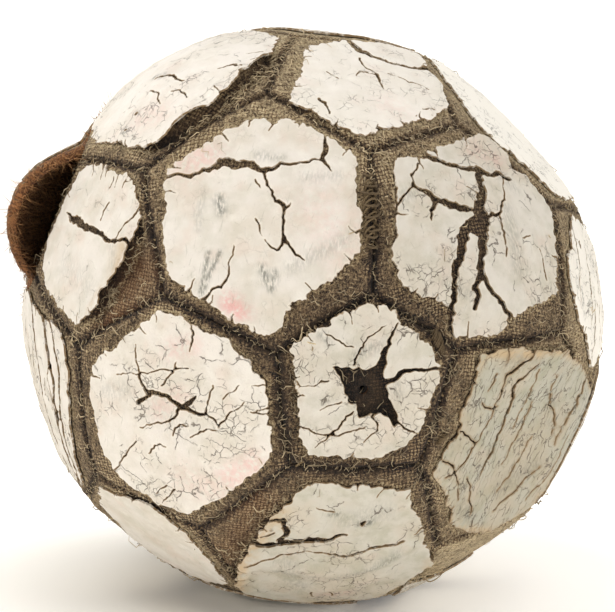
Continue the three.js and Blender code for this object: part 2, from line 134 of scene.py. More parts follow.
# ---- what has happened to fourteen of the sixteen panels in view ----
# Points are millimetres to the right of and above the panel's middle, seen from outside. Many are a
# separate conversion program's results, rounded to whole millimetres. The others were set one by one.
# outline: the coat's edge.  bare: areas inside it that have lost their coat.
# cracks: a line and its half widths from start to end.
# lifted: a stretch of the coat's edge, how high it stands, and how far in that reaches.
# folds: a line raised (or sunk) in the whole panel, its height and its reach.
# gaps: a line where the cloth is sunk and darkened with painted shade, how deep, and its reach.
# smudges, blush, stains, rust: lines of dark smearing, of faded pink dye, of tan staining of the
# coat and of rusty staining of the cloth, their radius and strength.
# cup: how high the coat curls at its edges.  craze: share of hairlines.
# grime: share of green-grey dirt, or of whitening if below zero. It is also painted
# shade on the lower panels, which lie in shade, and painted light where it is below zero on upper ones.
# stretched: the angle, from the panel's right, of a row of long splits side by side.
DAMAGE = {
    "valve": dict(
        outline=[(-30, 17), (-16, 24), (-7, 30), (4, 34), (9, 31), (13, 25), (20, 17), (25, 12),
                 (29, 4), (28, -2), (24, -8), (18, -19), (6, -25), (-20, -23), (-24, -2)],
        bare=[[(-12, 10), (-5, 9), (2, 8), (6, 10), (7, 4), (8, -1), (9, -6), (11, -10), (10, -15),
               (8, -10),
               (3, -8), (-2, -10), (-3, -5), (-6, -3), (-7, 1), (-9, 6)]],
        cracks=[
            ([(12, 25), (8, 17), (6, 8)], (0.2, 0.7, 1.9)),
            ([(6, 2), (14, 5), (31, 3)], (1.2, 0.5, 0.35)),
            ([(-4, 10), (-2, 17), (4, 23), (8, 25)], (0.4, 0.2, 0.15)),
            ([(-15, 22), (-10, 20), (-4, 17)], (0.1, 0.2, 0.15)),
            ([(-4, -7), (-13, -16), (-17, -20)], (0.3, 0.25, 0.1)),
            ([(-24, -11), (-13, -16), (0, -13)], (0.15, 0.2, 0.15)),
            ([(9, -12), (19, -20)], (0.3, 0.2)),
            ([(-13, 5), (-22, 3), (-26, 6)], (0.2, 0.1, 0.05)),
            ([(-8, -3), (-16, -6)], (0.2, 0.05)),
            ([(2, -9), (4, -15), (-1, -19)], (0.25, 0.15, 0.05)),
        ],
        gaps=[([(-6, 4), (3, -2), (8, -8)], 1.2, 8),
              ([(-29, 16), (-24, -2), (-20, -24), (6, -27)], 0.9, 2.4)],
        smudges=[([(-3, 14), (5, 17)], 2.5, 0.5), ([(11, 2), (12, -3)], 1.8, 0.5),
                 ([(-17, 22), (-14, 19)], 1.6, 0.6)],
        cup=0.75, craze=0.35, grime=0.42,
    ),
    "upper_left": dict(
        outline=[(-30, 18), (-19, 24), (-12, 28), (-2, 32), (10, 32), (20, 27), (32, 20), (33, -3),
                 (31, -11), (20, -21), (8, -29), (4, -36), (-2, -38), (-8, -34), (-18, -28),
                 (-28, -22), (-33, -17), (-33, -8), (-31, 10)],
        cracks=[
            ([(-33, 15), (-18, 15), (-11, 17), (-8, 17), (-3, 15),
             (1, 14)], (0.5, 0.4, 0.6, 1.5, 1.0, 0.8)),
            ([(0, 14), (12, 17), (20, 18)], (0.7, 0.3, 0.25)),
            ([(20, 28), (20, 18), (23, 15)], (0.35, 0.9, 0.1)),
            ([(0, 14), (4, 6), (8, 2), (8, -8), (13, -11), (15, -13)], (0.4, 0.25, 0.45, 0.3, 0.4, 0.1)),
            ([(8, 2), (10, 4)], (0.3, 0.05)),
            ([(8, -7), (6, -12), (2, -8)], (0.35, 0.25, 0.05)),
            ([(-8, -10), (-11, -20), (-21, -27)], (0.1, 0.25, 0.4)),
            ([(-1, -2), (1, -7)], (0.25, 0.1)),
            ([(-2, 11), (0, 8)], (0.15, 0.1)),
        ],
        smudges=[([(-13, 5), (-12, 1)], 1.8, 0.9), ([(-18, 8), (-20, -4)], 1.5, 0.3),
                 ([(-17, -12), (-21, -24)], 0.9, 0.9), ([(-13, -12), (-21, -25)], 0.9, 0.9),
                 ([(1, -17), (2, -21)], 1.6, 0.9), ([(5, -18), (3, -23)], 1.4, 0.8),
                 ([(10, -16), (28, -5)], 2.2, 0.3), ([(-2, 19), (6, 18)], 1.6, 0.4),
                 ([(14, 12), (26, 14)], 2, 0.25)],
        blush=[([(-11, -28), (-8, -30)], 3.6, 1.0), ([(-24, 18), (-17, 20)], 5, 0.45),
               ([(18, 3), (27, -8)], 9, 0.18)],
        cup=0.25, craze=0.12, grime=0.17,
    ),
    "upper_right": dict(
        outline=[(-23, 28), (-11, 27), (-8, 30), (2, 34), (17, 36), (25, 30), (24, 22), (32, 20),
                 (36, 12), (38, 5), (34, -4), (29, -18), (21, -22), (13, -24), (7, -30), (2, -36),
                 (-8, -37), (-16, -36), (-15, -23), (-27, -16), (-33, -8), (-34, -3), (-30, 8)],
        cracks=[
            ([(-13, 28), (-3, 24), (7, 22), (22, 19)], (1.1, 0.7, 0.9, 0.6)),
            ([(-14, 27), (-20, 18), (-32, 8)], (0.25, 0.25, 0.2)),
            ([(-20, 18), (-14, 12), (-9, 10), (-1, 8)], (0.3, 0.9, 1.3, 0.9)),
            ([(-14, 11), (-17, 6)], (0.7, 0.1)),
            ([(9, 22), (6, 14), (1, 7)], (1.6, 1.5, 1.8)),
            ([(3, 5), (-3, 3), (-7, 1)], (2.4, 2.8, 1.2)),
            ([(-6, 1), (-10, -6), (-13, -18), (-15, -34)], (1.9, 1.2, 0.9, 0.9)),
            ([(1, 3), (0, -4), (-3, -13), (-6, -26)], (2.2, 1.4, 0.9, 0.8)),
            ([(-3, -13), (0, -19), (4, -24), (7, -29)], (1, 0.7, 0.7, 0.9)),
            ([(18, 19), (16, 12), (10, 6), (4, 5)], (0.15, 0.2, 0.3, 0.7)),
            ([(10, 5), (8, -8)], (0.3, 0.12)),
            ([(24, -5), (24, -15)], (0.12, 0.2)),
            ([(17, -2), (21, -1)], (0.15, 0.05)),
            ([(5, 13), (0, 16)], (0.2, 0.05)),
        ],
        smudges=[([(-26, 14), (-20, 16)], 2, 0.35), ([(14, 22), (22, 16)], 2.5, 0.3),
                 ([(14, 8), (12, -12)], 3, 0.35), ([(-16, -14), (-9, -20)], 2.5, 0.35)],
        blush=[([(10, 30), (20, 26)], 3.5, 0.35)],
        lifted=[((17, 36), (25, 30), 1.2, 3.5)],
        gaps=[([(-1, 6), (-3, 1)], 0.8, 3), ([(-5, 0), (-12, -10), (-14, -30)], 0.4, 2)],
        cup=0.45, craze=0.3, grime=0.36,
    ),
    "middle_left": dict(
        outline=[(-6, 38), (3, 36), (11, 33), (21, 28), (27, 22), (32, 17), (34, 8), (34, -14),
                 (24, -22), (14, -29), (3, -36), (-13, -30), (-22, -23), (-28, -12), (-31, 0),
                 (-32, 8), (-29, 16), (-20, 22), (-13, 29)],
        cracks=[
            ([(-12, 24), (-11, 18), (-10, 14), (-8, 10), (-6, 8)], (0.1, 0.2, 0.2, 0.45, 0.6)),
            ([(-6, 8), (1, 7), (6, 4)], (0.55, 0.7, 0.9)),
            ([(6, 4), (11, 3), (16, 2), (18, -2)], (0.8, 0.6, 0.3, 0.2)),
            ([(-5, 7), (-10, 4)], (0.3, 0.8)),
            ([(5, 4), (3, 0), (-3, -2), (-10, -4)], (0.5, 0.25, 0.1, 0.06)),
            ([(6, 4), (10, 7), (11, 9)], (0.5, 1, 0.1)),
            ([(14, 3), (15, 8), (16, 13)], (0.25, 0.15, 0.1)),
            ([(18, -1), (22, 4), (26, 8)], (0.2, 0.15, 0.1)),
            ([(19, 8), (24, 14)], (0.15, 0.1)),
            ([(28, 4), (34, 3)], (0.1, 0.25)),
            ([(2, -6), (3, -2), (8, -2)], (0.15, 0.2, 0.1)),
            ([(8, -6), (12, -4), (17, -3)], (0.1, 0.2, 0.1)),
            ([(-8, -13), (-5, -10), (-1, -10)], (0.1, 0.22, 0.12)),
            ([(-23, -20), (-12, -9)], (0.12, 0.2)),
            ([(-8, -28), (-3, -24)], (0.1, 0.2)),
            ([(-7, -32), (0, -25)], (0.1, 0.2)),
            ([(8, 24), (9, 28), (8, 33)], (0.1, 0.22, 0.25)),
            ([(-19, 12), (8, 18)], (0.08, 0.16)),
            ([(-1, 11), (3, 16), (4, 20)], (0.22, 0.15, 0.1)),
        ],
        smudges=[([(1, -38), (5, -35)], 0.9, 0.9), ([(-24, 6), (-14, 8)], 3, 0.3),
                 ([(-4, 1), (6, -4)], 5, 0.15)],
        blush=[([(2, 24), (8, 26)], 4, 0.4), ([(20, -20), (27, -16)], 5, 0.5),
               ([(4, 8), (-2, 3)], 4, 0.35),
               ([(18, -28), (4, -20)], 6, 0.2)],
        cup=0.3, craze=0.3, grime=0.12,
    ),
    "lower": dict(
        outline=[(-10, 33), (-4, 35), (17, 28), (25, 25), (26, 19), (32, 10), (37, -3), (41, -12),
                 (36, -26), (27, -36), (10, -37), (-12, -38), (-30, -34), (-30, -20), (-27, -2),
                 (-22, 16), (-15, 26)],
        cracks=[
            ([(-24, 9), (-18, 7), (-8, 8), (5, 10)], (1.1, 1.7, 1.4, 0.4)),
            ([(-21, 19), (-16, 19), (-14, 13), (-16, 9)], (0.3, 0.7, 0.8, 0.9)),
            ([(-7, 1), (6, -2), (14, 2), (26, 4)], (0.1, 0.4, 0.45, 0.3)),
            ([(-26, -4), (-14, -1), (-7, 1)], (0.2, 0.3, 0.1)),
            ([(-18, 14), (-22, 12)], (0.4, 0.2)),
            ([(2, -25), (3, -30)], (0.3, 0.1)),
            ([(-4, -26), (-3, -31)], (0.25, 0.1)),
            ([(0, 21), (-6, 23)], (0.2, 0.1)),
        ],
        bare=[[(8.6, 15), (10, 16.3), (11.5, 15.2), (10.2, 13.7)]],
        smudges=[([(9, 15), (12, 15)], 1.6, 1.0), ([(-1, 20), (1, 20)], 1.2, 0.8),
                 ([(4, 17), (16, 18)], 4, 0.25),
                 ([(12, -12), (24, -2)], 2.2, 0.55), ([(-14, -6), (-9, -22)], 4, 0.3),
                 ([(2, -14), (16, -8)], 2, 0.35)],
        blush=[([(0, -27), (8, -28)], 4, 0.4)],
        lifted=[((-30, -20), (-20, 16), 3.2, 4.0), ((41, -12), (33, -28), 2, 3)],
        gaps=[([(-32, -24), (-26, 2), (-16, 24)], 1.2, 2.2), ([(-18, 8), (4, 9)], 0.8, 2.0)],
        stains=[([(-30, -32), (-28, -8), (-23, 8), (-17, 22)], 2.8, 1.0),
                ([(22, -37), (36, -26), (41, -12)], 3, 1),
                ([(-14, -37), (10, -37)], 2, 0.7)],
        rust=[([(-36, -14), (-30, 8), (-24, 24)], 6, 0.75)],
        folds=[([(-26, -6), (2, -12), (20, -6), (34, 4)], 1.6, 4), ([(-24, 2), (0, 3), (20, 9)], -0.9, 4),
               ([(0, -24), (20, -16)], 1.0, 3.5)],
        # This panel's high share greys it as dirt and as painted shade.
        cup=0.4, craze=0.3, grime=0.68,
    ),
    "dented": dict(
        outline=[(-22, 31), (-8, 34), (13, 35), (33, 24), (45, 14), (44, 2), (38, -22), (25, -36),
                 (14, -40), (-4, -36), (-14, -30), (-26, -20), (-37, -12), (-33, -4), (-26, 3),
                 (-28, 10), (-23, 18)],
        cracks=[
            ([(2, 30), (-1, 24), (-4, 20), (-2, 11), (-2, 3), (-4, -6), (-8, -12), (-8, -15)],
             (0.1, 0.4, 0.6, 0.6, 0.5, 0.6, 0.45, 0.1)),
            ([(-3, 32), (-7, 28), (-9, 24), (-10, 18)], (0.3, 0.6, 0.4, 0.1)),
            ([(15, 24), (18, 12), (24, 4), (24, -2)], (0.1, 0.2, 0.3, 0.15)),
            ([(37, 18), (31, 8), (27, 0), (26, -6)], (0.5, 0.4, 0.3, 0.1)),
            ([(-26, 3), (-16, -2), (-20, -9), (-29, -14)], (0.3, 0.3, 0.3, 0.2)),
            ([(-33, -8), (-28, -9), (-22, -14)], (0.3, 0.35, 0.2)),
            ([(-18, 14), (-12, 11), (-9, 12)], (0.15, 0.25, 0.1)),
            ([(-9, 18), (-11, 8), (-16, -2)], (0.2, 0.15, 0.25)),
            ([(10, 12), (9, 0), (4, -12)], (0.15, 0.22, 0.1)),
            ([(4, 27), (7, 14), (5, 2)], (0.15, 0.22, 0.1)),
            ([(15, -2), (12, -14), (5, -22)], (0.1, 0.22, 0.15)),
            ([(-16, -14), (-10, -20), (-6, -28)], (0.2, 0.22, 0.2)),
            ([(-22, -14), (-16, -22)], (0.2, 0.15)),
            ([(22, -14), (14, -24), (6, -29)], (0.15, 0.3, 0.3)),
            ([(34, -4), (30, -18), (22, -28)], (0.15, 0.2, 0.15)),
            ([(-14, 24), (-16, 18)], (0.25, 0.1)),
        ],
        smudges=[([(6, -22), (20, -14)], 3, 0.4), ([(-12, 28), (0, 32)], 3, 0.35),
                 ([(18, 20), (22, 4)], 4, 0.25),
                 ([(-14, -24), (-4, -30)], 3, 0.35)],
        lifted=[((-22, 31), (13, 35), 1.6, 2.5)],
        stains=[([(-22, 31), (13, 35), (34, 24), (45, 12)], 2.2, 1.0),
                ([(-37, -12), (-14, -31), (14, -40)], 2.0, 0.8),
                ([(-27, 4), (-28, 12), (-22, 28)], 2.2, 0.9),
                ([(14, -39), (26, -35), (40, -18)], 3, 0.7)],
        folds=[([(40, 12), (30, 0), (26, -14)], 1.8, 5), ([(10, 20), (6, -20)], -1.0, 9)],
        cup=0.5, craze=1.0, grime=1.0,
    ),
    "left_shoulder": dict(
        outline=[(-24, -25), (-33, -4), (-24, 14), (-15, 28), (4, 33), (22, 30), (32, 12), (33, -8),
                 (29, -20), (23, -29), (4, -32), (-14, -31)],
        cracks=[
            ([(20, 3), (24, 6), (30, 5)], (0.15, 0.5, 0.15)),
            ([(-1, -6), (3, -4), (13, -5)], (0.2, 0.4, 0.12)),
            ([(12, -10), (16, -9), (21, -11)], (0.12, 0.2, 0.12)),
            ([(2, -11), (8, -12), (12, -15)], (0.15, 0.2, 0.1)),
            ([(22, 14), (26, 18)], (0.12, 0.15)),
        ],
        smudges=[([(4, -20), (5, -20)], 1.1, 1.0), ([(4, -26), (5, -27)], 1.0, 1.0),
                 ([(-2, -5), (2, -4)], 1.6, 0.7)],
        blush=[([(8, -22), (14, -18)], 5, 0.25)],
        bare=[[(3.2, -20), (4.2, -19), (5.2, -20.2), (4, -21)], [(3.6, -26.4), (4.6, -25.6),
               (5.4, -26.6)]],
        lifted=[((33, 12), (28, -21), 3.4, 6.0), ((28, -21), (8, -31), 1.4, 4.0)],
        gaps=[([(29, 20), (34, 6), (34, -10), (28, -22), (20, -28)], 2.6, 2.9)],
        cup=0.3, craze=0.25, grime=-0.05,
    ),
    "crown": dict(
        outline=[(-31, -12), (-22, 4), (-14, 22), (1, 28), (12, 28), (26, 27), (32, 22), (28, 12),
                 (31, 2), (30, -10), (20, -18), (8, -24), (-6, -30), (-14, -27), (-22, -18)],
        cracks=[
            ([(2, 30), (4, 18), (10, 13), (18, 10), (30, 12)], (0.6, 1.2, 0.6, 0.6, 1.2)),
            ([(2, 14), (2, 10), (5, 4), (5, -5)], (0.2, 0.2, 0.4, 0.12)),
            ([(-3, 2), (0, 5), (5, 3)], (0.1, 0.2, 0.15)),
            ([(-20, -12), (-19, -15), (-18, -19)], (0.7, 0.25, 0.2)),
            ([(-13, 4), (-10, 0)], (0.1, 0.15)),
            ([(9, 4), (24, -2)], (0.12, 0.1)),
            ([(18, -14), (24, -13)], (0.15, 0.2)),
        ],
        blush=[([(4, -14), (8, -16)], 6, 0.25)],
        # Below zero: whitened, as painted light on the top panel.
        cup=0.3, craze=0.2, grime=-0.09,
    ),
    "left": dict(
        outline=[(-16, 25), (-6, 28), (18, 27), (24, 18), (25, 8), (22, 0), (15, -12), (10, -24),
                 (4, -29), (-4, -28), (-24, -13), (-26, -4), (-22, 10)],
        cracks=[
            ([(-16, 10), (-10, 8), (-2, 6), (12, 3)], (0.2, 1.3, 0.9, 0.7)),
            ([(12, 3), (18, 4), (27, 2)], (0.4, 0.6, 0.9)),
            ([(25, 19), (20, 11), (13, 3)], (0.25, 0.25, 0.2)),
            ([(9, 16), (6, 9)], (0.25, 0.1)),
            ([(8, 25), (7, 21)], (0.3, 0.1)),
            ([(0, 28), (0, 23)], (0.3, 0.1)),
            ([(15, 26), (14, 22)], (0.25, 0.1)),
        ],
        smudges=[([(14, 2), (16, -5)], 2.5, 0.25), ([(-10, -8), (4, -14)], 5, 0.2)],
        lifted=[((24, 4), (8, -27), 2.8, 4.0)],
        gaps=[([(24, 8), (23, -2), (16, -12), (10, -24)], 2.0, 2.8)],
        stains=[([(20, 2), (18, -8)], 3.5, 0.8), ([(12, -14), (8, -24)], 1.5, 0.5)],
        folds=[([(26, -4), (12, -30)], -1.2, 6)],
        cup=0.25, craze=0.2, grime=0.18, rust=[([(26, -4), (16, -26)], 7, 1.0)],
    ),
    "left_foot": dict(
        outline=[(-4, 31), (10, 29), (20, 26), (28, 12), (25, -8), (18, -24), (4, -26), (-14, -18),
                 (-22, -4), (-18, 17)],
        cup=0.15, craze=0.1, grime=0.25,
    ),
    "right": dict(
        outline=[(-3, 27), (-16, 18), (-27, 10), (-25, 0), (-14, -14), (-4, -27), (14, -22),
                 (28, -10), (26, 12), (12, 22)],
        cup=0.4, craze=0.3, grime=-0.18, stretched=70,
    ),
    "right_shoulder": dict(
        outline=[(-8, 36), (-22, 22), (-32, 7), (-33, -5), (-27, -18), (-21, -31), (-6, -34),
                 (14, -36), (28, -16), (38, 2), (28, 20), (12, 31)],
        cup=0.3, craze=0.25, grime=-0.3,
    ),
    "left_side": dict(
        outline=[(-6, 37), (8, 32), (30, 25), (34, 8), (28, -10), (16, -32), (6, -34), (-14, -28),
                 (-32, -16), (-34, 6), (-24, 26)],
        cracks=[
            ([(16, 32), (20, 6), (8, -36)], (0.9, 0.8, 1)),
            ([(22, 30), (26, 10), (14, -30)], (0.4, 0.6, 0.5)),
            ([(4, 38), (6, 8), (-4, -34)], (0.6, 0.5, 0.5)),
        ],
        cup=0.6, craze=0.4, grime=0.2, stretched=80,
    ),
    "right_foot": dict(
        outline=[(-22, -8), (-8, -6), (10, -2), (24, -4), (22, -18), (10, -29), (-12, -24)],
        cup=0.4, craze=0.4, grime=0.4,
    ),
}
EDGE_MARGIN = {"hexagon": 8.5, "pentagon": 7.5}     # bare cloth beside the seams of the other panels


# ---- small tools ----
def unit(vectors):
    """Each vector divided by its length."""
    return vectors / np.linalg.norm(vectors, axis=-1, keepdims=True)


def smooth_noise(points, cell, seed):
    """Values from -1 to 1: random numbers on a grid of cells, blended by smooth steps in between."""
    size, count = 32, points.shape[1]
    table = np.random.default_rng(seed).uniform(-1, 1, (size,) * count)
    low = np.floor(points / cell).astype(int)
    part = points / cell - low
    part = part * part * (3 - 2 * part)
    total = np.zeros(len(points))
    for corner in product((0, 1), repeat=count):
        weight = np.where(np.array(corner) == 1, part, 1 - part).prod(axis=1)
        total += weight * table[tuple(((low + corner) % size).T)]
    return total


def line_gap(points, line):
    """The distance from each point to a line of straight pieces, its nearest point there, and the share
    of the way along."""
    start, way = line[:-1], np.diff(line, axis=0)
    share = ((points[:, None] - start) * way).sum(2) / (way**2).sum(1)
    share = share.clip(0, 1)
    foot = start + share[..., None] * way
    gap = np.linalg.norm(points[:, None] - foot, axis=2)
    rows, nearest = np.arange(len(points)), gap.argmin(1)
    return gap[rows, nearest], foot[rows, nearest], (nearest + share[rows, nearest]) / len(way)


def is_inside(points, outline):
    """Odd counts of outline edges crossed by a ray to the right of each point."""
    start, end = outline, np.roll(outline, -1, axis=0)
    level = points[:, 1, None]
    crosses = (start[:, 1] > level) != (end[:, 1] > level)
    rise = np.where(start[:, 1] == end[:, 1], 1, end[:, 1] - start[:, 1])
    at = start[:, 0] + (level - start[:, 1]) * (end[:, 0] - start[:, 0]) / rise
    return (crosses & (points[:, 0, None] < at)).sum(1) % 2 == 1


def ragged(line, step, amount, rng):
    """The line divided into steps, each new point pushed sideways by a random amount; its ends stay."""
    line = np.asarray(line, float)
    length = np.append(0, np.linalg.norm(np.diff(line, axis=0), axis=1).cumsum())
    count = max(int(length[-1] / step), len(line))
    at = np.linspace(0, length[-1], count + 1)
    points = np.stack([np.interp(at, length, line[:, k]) for k in (0, 1)], axis=1)
    way = unit(np.gradient(points, axis=0) + 1e-9)
    push = rng.normal(0, amount, count + 1)
    push[[0, -1]] = 0
    return points + push[:, None] * np.stack([-way[:, 1], way[:, 0]], axis=1)


def glow(points, lines):
    """Soft marks: for each line (its points, radius, strength), a bell curve of the distance to it.
    The strongest counts."""
    total = np.zeros(len(points))
    for line, radius, strength in lines:
        gap = line_gap(points, np.array(line, float))[0]
        total = np.maximum(total, strength * np.exp(-((gap / radius) ** 2)))
    return total


# ---- the slumped ball's form ----
def icosahedron_axes():
    """The valve's axis, a ring of five above the middle, a lower ring turned by half a step, and the
    rear axis."""
    height, radius = 1 / np.sqrt(5), 2 / np.sqrt(5)
    upper = np.radians(72 * np.arange(5))
    lower = upper + np.radians(36)
    rings = [np.stack([radius * np.cos(a), radius * np.sin(a), np.full(5, z)], axis=1)
             for a, z in ((upper, height), (lower, -height))]
    return dict(zip(PENTAGONS, np.vstack([[[0, 0, 1]], *rings, [[0, 0, -1]]])))


AXES = icosahedron_axes()
NEIGHBOUR_REACH = 1.2       # more than the distance between neighbouring axes, less than any other


def place(*names):
    """One name gives a pentagon's middle, two a seam corner (a third of the way to the second), three a
    hexagon's middle."""
    weights = (2, 1) if len(names) == 2 else (1,) * len(names)
    return unit(sum(weight * AXES[name] for weight, name in zip(weights, names)))


def ball_lie():
    """Ball axes as columns: valve along the third, crown pentagon over the first, turned to how the
    ball lies."""
    yaw, pitch, spin = np.radians([VALVE_YAW, VALVE_PITCH, VALVE_SPIN])
    valve = np.array([np.sin(yaw) * np.cos(pitch), -np.cos(yaw) * np.cos(pitch), np.sin(pitch)])
    up = unit(np.array([0, 0, 1]) - valve[2] * valve)
    crown = np.cos(spin) * up + np.sin(spin) * np.cross(valve, up)
    return np.stack([crown, np.cross(valve, crown), valve], axis=1)


LIE = ball_lie()


class Panel:
    """One panel: its middle and corners as directions, and a flat frame in millimetres (right, up) on
    its plane."""

    def __init__(self, name, kind, around):
        self.name, self.kind, self.around = name, kind, around
        self.middle = place(*around)
        self.corner_names = self._pentagon_corners() if kind == "pentagon" else self._hexagon_corners()
        corners = np.array([place(*corner) for corner in self.corner_names])
        self.inradius = float(self.middle @ corners[0])
        outwards = LIE @ self.middle
        up = unit(np.array([0, 0, 1.0]) - outwards * outwards[2])
        self.right, self.up = LIE.T @ np.cross(up, outwards), LIE.T @ up
        flat = corners - self.middle * self.inradius
        self.corners = np.stack([flat @ self.right, flat @ self.up], axis=1) * CLOTH_RADIUS
        halfway = (self.corners + np.roll(self.corners, -1, axis=0)) / 2
        self.seam_distance = float(np.linalg.norm(halfway[0]))
        self.edge_ways = unit(halfway)

    def _pentagon_corners(self):
        """The corners towards the five nearest pentagons, in order of their angle about the middle."""
        near = [other for other in PENTAGONS if other != self.name
                and np.linalg.norm(AXES[other] - self.middle) < NEIGHBOUR_REACH]
        x = unit(AXES[near[0]] - self.middle * (AXES[near[0]] @ self.middle))
        y = np.cross(self.middle, x)
        near.sort(key=lambda other: np.arctan2(AXES[other] @ y, AXES[other] @ x))
        return [(self.name, other) for other in near]

    def _hexagon_corners(self):
        """Two corners on the edge between each pair of pentagons, anticlockwise from outside."""
        a, b, c = self.around
        if np.cross(AXES[b] - AXES[a], AXES[c] - AXES[a]) @ AXES[a] < 0:
            b, c = c, b
        return [(a, b), (b, a), (b, c), (c, b), (c, a), (a, c)]

    def directions(self, flat):
        """Flat points on the panel's plane, as directions from the ball's middle."""
        aside = flat[:, :1] * self.right + flat[:, 1:] * self.up
        return unit(self.middle * self.inradius + aside / CLOTH_RADIUS)

    def seam_gap(self, flat):
        """The distance of flat points from the nearest seam: the panel's half width less the reach
        towards its edges."""
        return self.seam_distance - (flat @ self.edge_ways.T).max(axis=1)

    def surface(self, flat, height):
        """Flat points at a height above the cloth's even surface, as places; the flap adds its lift."""
        directions = self.directions(flat)
        points = on_ball(directions, height)
        if self.name == "flap":
            from_middle = points - BALL_CENTRE
            points = points + unit(from_middle) * flap_lift(directions)[:, None]
        points[:, 2] = np.maximum(points[:, 2], 0)
        return points


def on_ball(directions, height):
    """Where directions in ball axes meet the ball: part way between a round ball and flat panels, with
    swells and dents added, moved by the crept corners, turned to how the ball lies, and softly stopped
    by the floor."""
    nearest = (directions @ MIDDLES.T / INRADII).max(axis=1)
    radius = CLOTH_RADIUS * (1 - FACET * (1 - 1 / nearest))
    for names, swell, reach in SWELLS:
        angle = np.degrees(np.arccos((directions @ place(*names)).clip(-1, 1)))
        radius = radius + swell * np.exp(-((angle / reach) ** 2))
    moved = directions.copy()
    for corner, towards, distance in CREEP:
        start = place(*corner)
        away = np.linalg.norm(directions - start, axis=1) * CLOTH_RADIUS
        end = place(*towards)
        way = unit(end - start * (start @ end))
        moved = moved + (distance / CLOTH_RADIUS) * np.exp(-((away / CREEP_REACH) ** 2))[:, None] * way
    points = (unit(moved) * (radius + height)[:, None]) @ LIE.T
    floor = COAT_THICKNESS - height - SIT_HEIGHT
    near = np.maximum(SIT_ROUNDING - np.abs(points[:, 2] - floor), 0) / SIT_ROUNDING
    points[:, 2] = np.maximum(points[:, 2], floor) + near**2 * SIT_ROUNDING / 4
    return points + BALL_CENTRE


def way_share(directions, start, end):
    """How far along the way from one direction to another each direction lies, as a share."""
    return (directions - start) @ (end - start) / ((end - start) @ (end - start))


def flap_lift(directions):
    """Nothing along the far edge, growing as a power of the share of the way to the edge beside the left
    pentagon, and less by the square of the distance from that edge's middle."""
    top, bottom = place("left", "left_crown"), place("left", "left_rear")
    far = unit(place("left_crown", "left_rear") + place("left_rear", "left_crown"))
    share = way_share(directions, far, unit(top + bottom)).clip(0)
    side = 2 * way_share(directions, bottom, top) - 1
    return FLAP_LIFT * share**FLAP_BEND * (1 - FLAP_CURL * side**2).clip(0)


PANELS = {name: Panel(name, "pentagon", (name,)) for name in PENTAGONS}
PANELS.update({name: Panel(name, "hexagon", around) for name, around in HEXAGONS.items()})
MIDDLES = np.array([panel.middle for panel in PANELS.values()])
INRADII = np.array([panel.inradius for panel in PANELS.values()])
VALVE_PLACE = on_ball(AXES["valve"][None], 0)[0]
SEEDS = {name: 100 + 10 * k for k, name in enumerate(PANELS)}


# ---- what is left of each panel's coat ----
def plain_outline(panel, rng):
    """The panel's outline drawn in by its margin, with its corners cut off and its sides pushed about."""
    share = 1 - EDGE_MARGIN[panel.kind] / panel.seam_distance
    corners = panel.corners * share
    after, before = np.roll(corners, -1, axis=0), np.roll(corners, 1, axis=0)
    cut = np.stack([corners + 0.12 * (before - corners), corners + 0.12 * (after - corners),
                    corners + 0.5 * (after - corners)], axis=1).reshape(-1, 2)
    return cut * (1 + rng.normal(0, 0.025, len(cut)))[:, None]


def plain_cracks(panel, rng):
    """A forked crack near the middle and a few short ones: random walks that keep their heading."""
    cracks = []
    for _ in range(7):
        start = rng.uniform(-0.6, 0.6, 2) * panel.seam_distance
        heading = rng.uniform(0, 2 * np.pi) + rng.normal(0, 0.5, 4).cumsum()
        steps = rng.uniform(2, 7) * np.stack([np.cos(heading), np.sin(heading)], axis=1)
        width = rng.uniform(0.15, 0.7)
        cracks.append((np.vstack([start, start + steps.cumsum(axis=0)]), (0.1, width, width, 0.1)))
    return cracks


def edge_cracks(outline, rng):
    """Short splits that run in from the coat's edge towards the panel's middle."""
    closed = ragged(np.vstack([outline, outline[:1]]), 9, 0.1, rng)[:-1]
    keep = closed[rng.random(len(closed)) < 0.5]
    depth = rng.uniform(1.2, 4.5, (len(keep), 1))
    ends = keep - unit(keep) * depth + rng.normal(0, 1.2, keep.shape)
    return [(np.stack([start * 1.03, end]), (rng.uniform(0.1, 0.25), 0.05))
            for start, end in zip(keep, ends)]


def stretched_cracks(panel, angle, rng):
    """Long wavering splits side by side, all near one angle from the panel's right."""
    way = np.array([np.cos(np.radians(angle)), np.sin(np.radians(angle))])
    side = np.array([-way[1], way[0]])
    cracks = []
    for offset in np.arange(-27, 28, 6.0):
        ends = np.sort(rng.uniform(-30, 30, 2))
        at = np.linspace(*ends, 5)[:, None]
        line = at * way + (offset + rng.normal(0, 0.8, (5, 1))) * side
        cracks.append((line, (0.08, rng.uniform(0.15, 0.4), 0.08)))
    return cracks


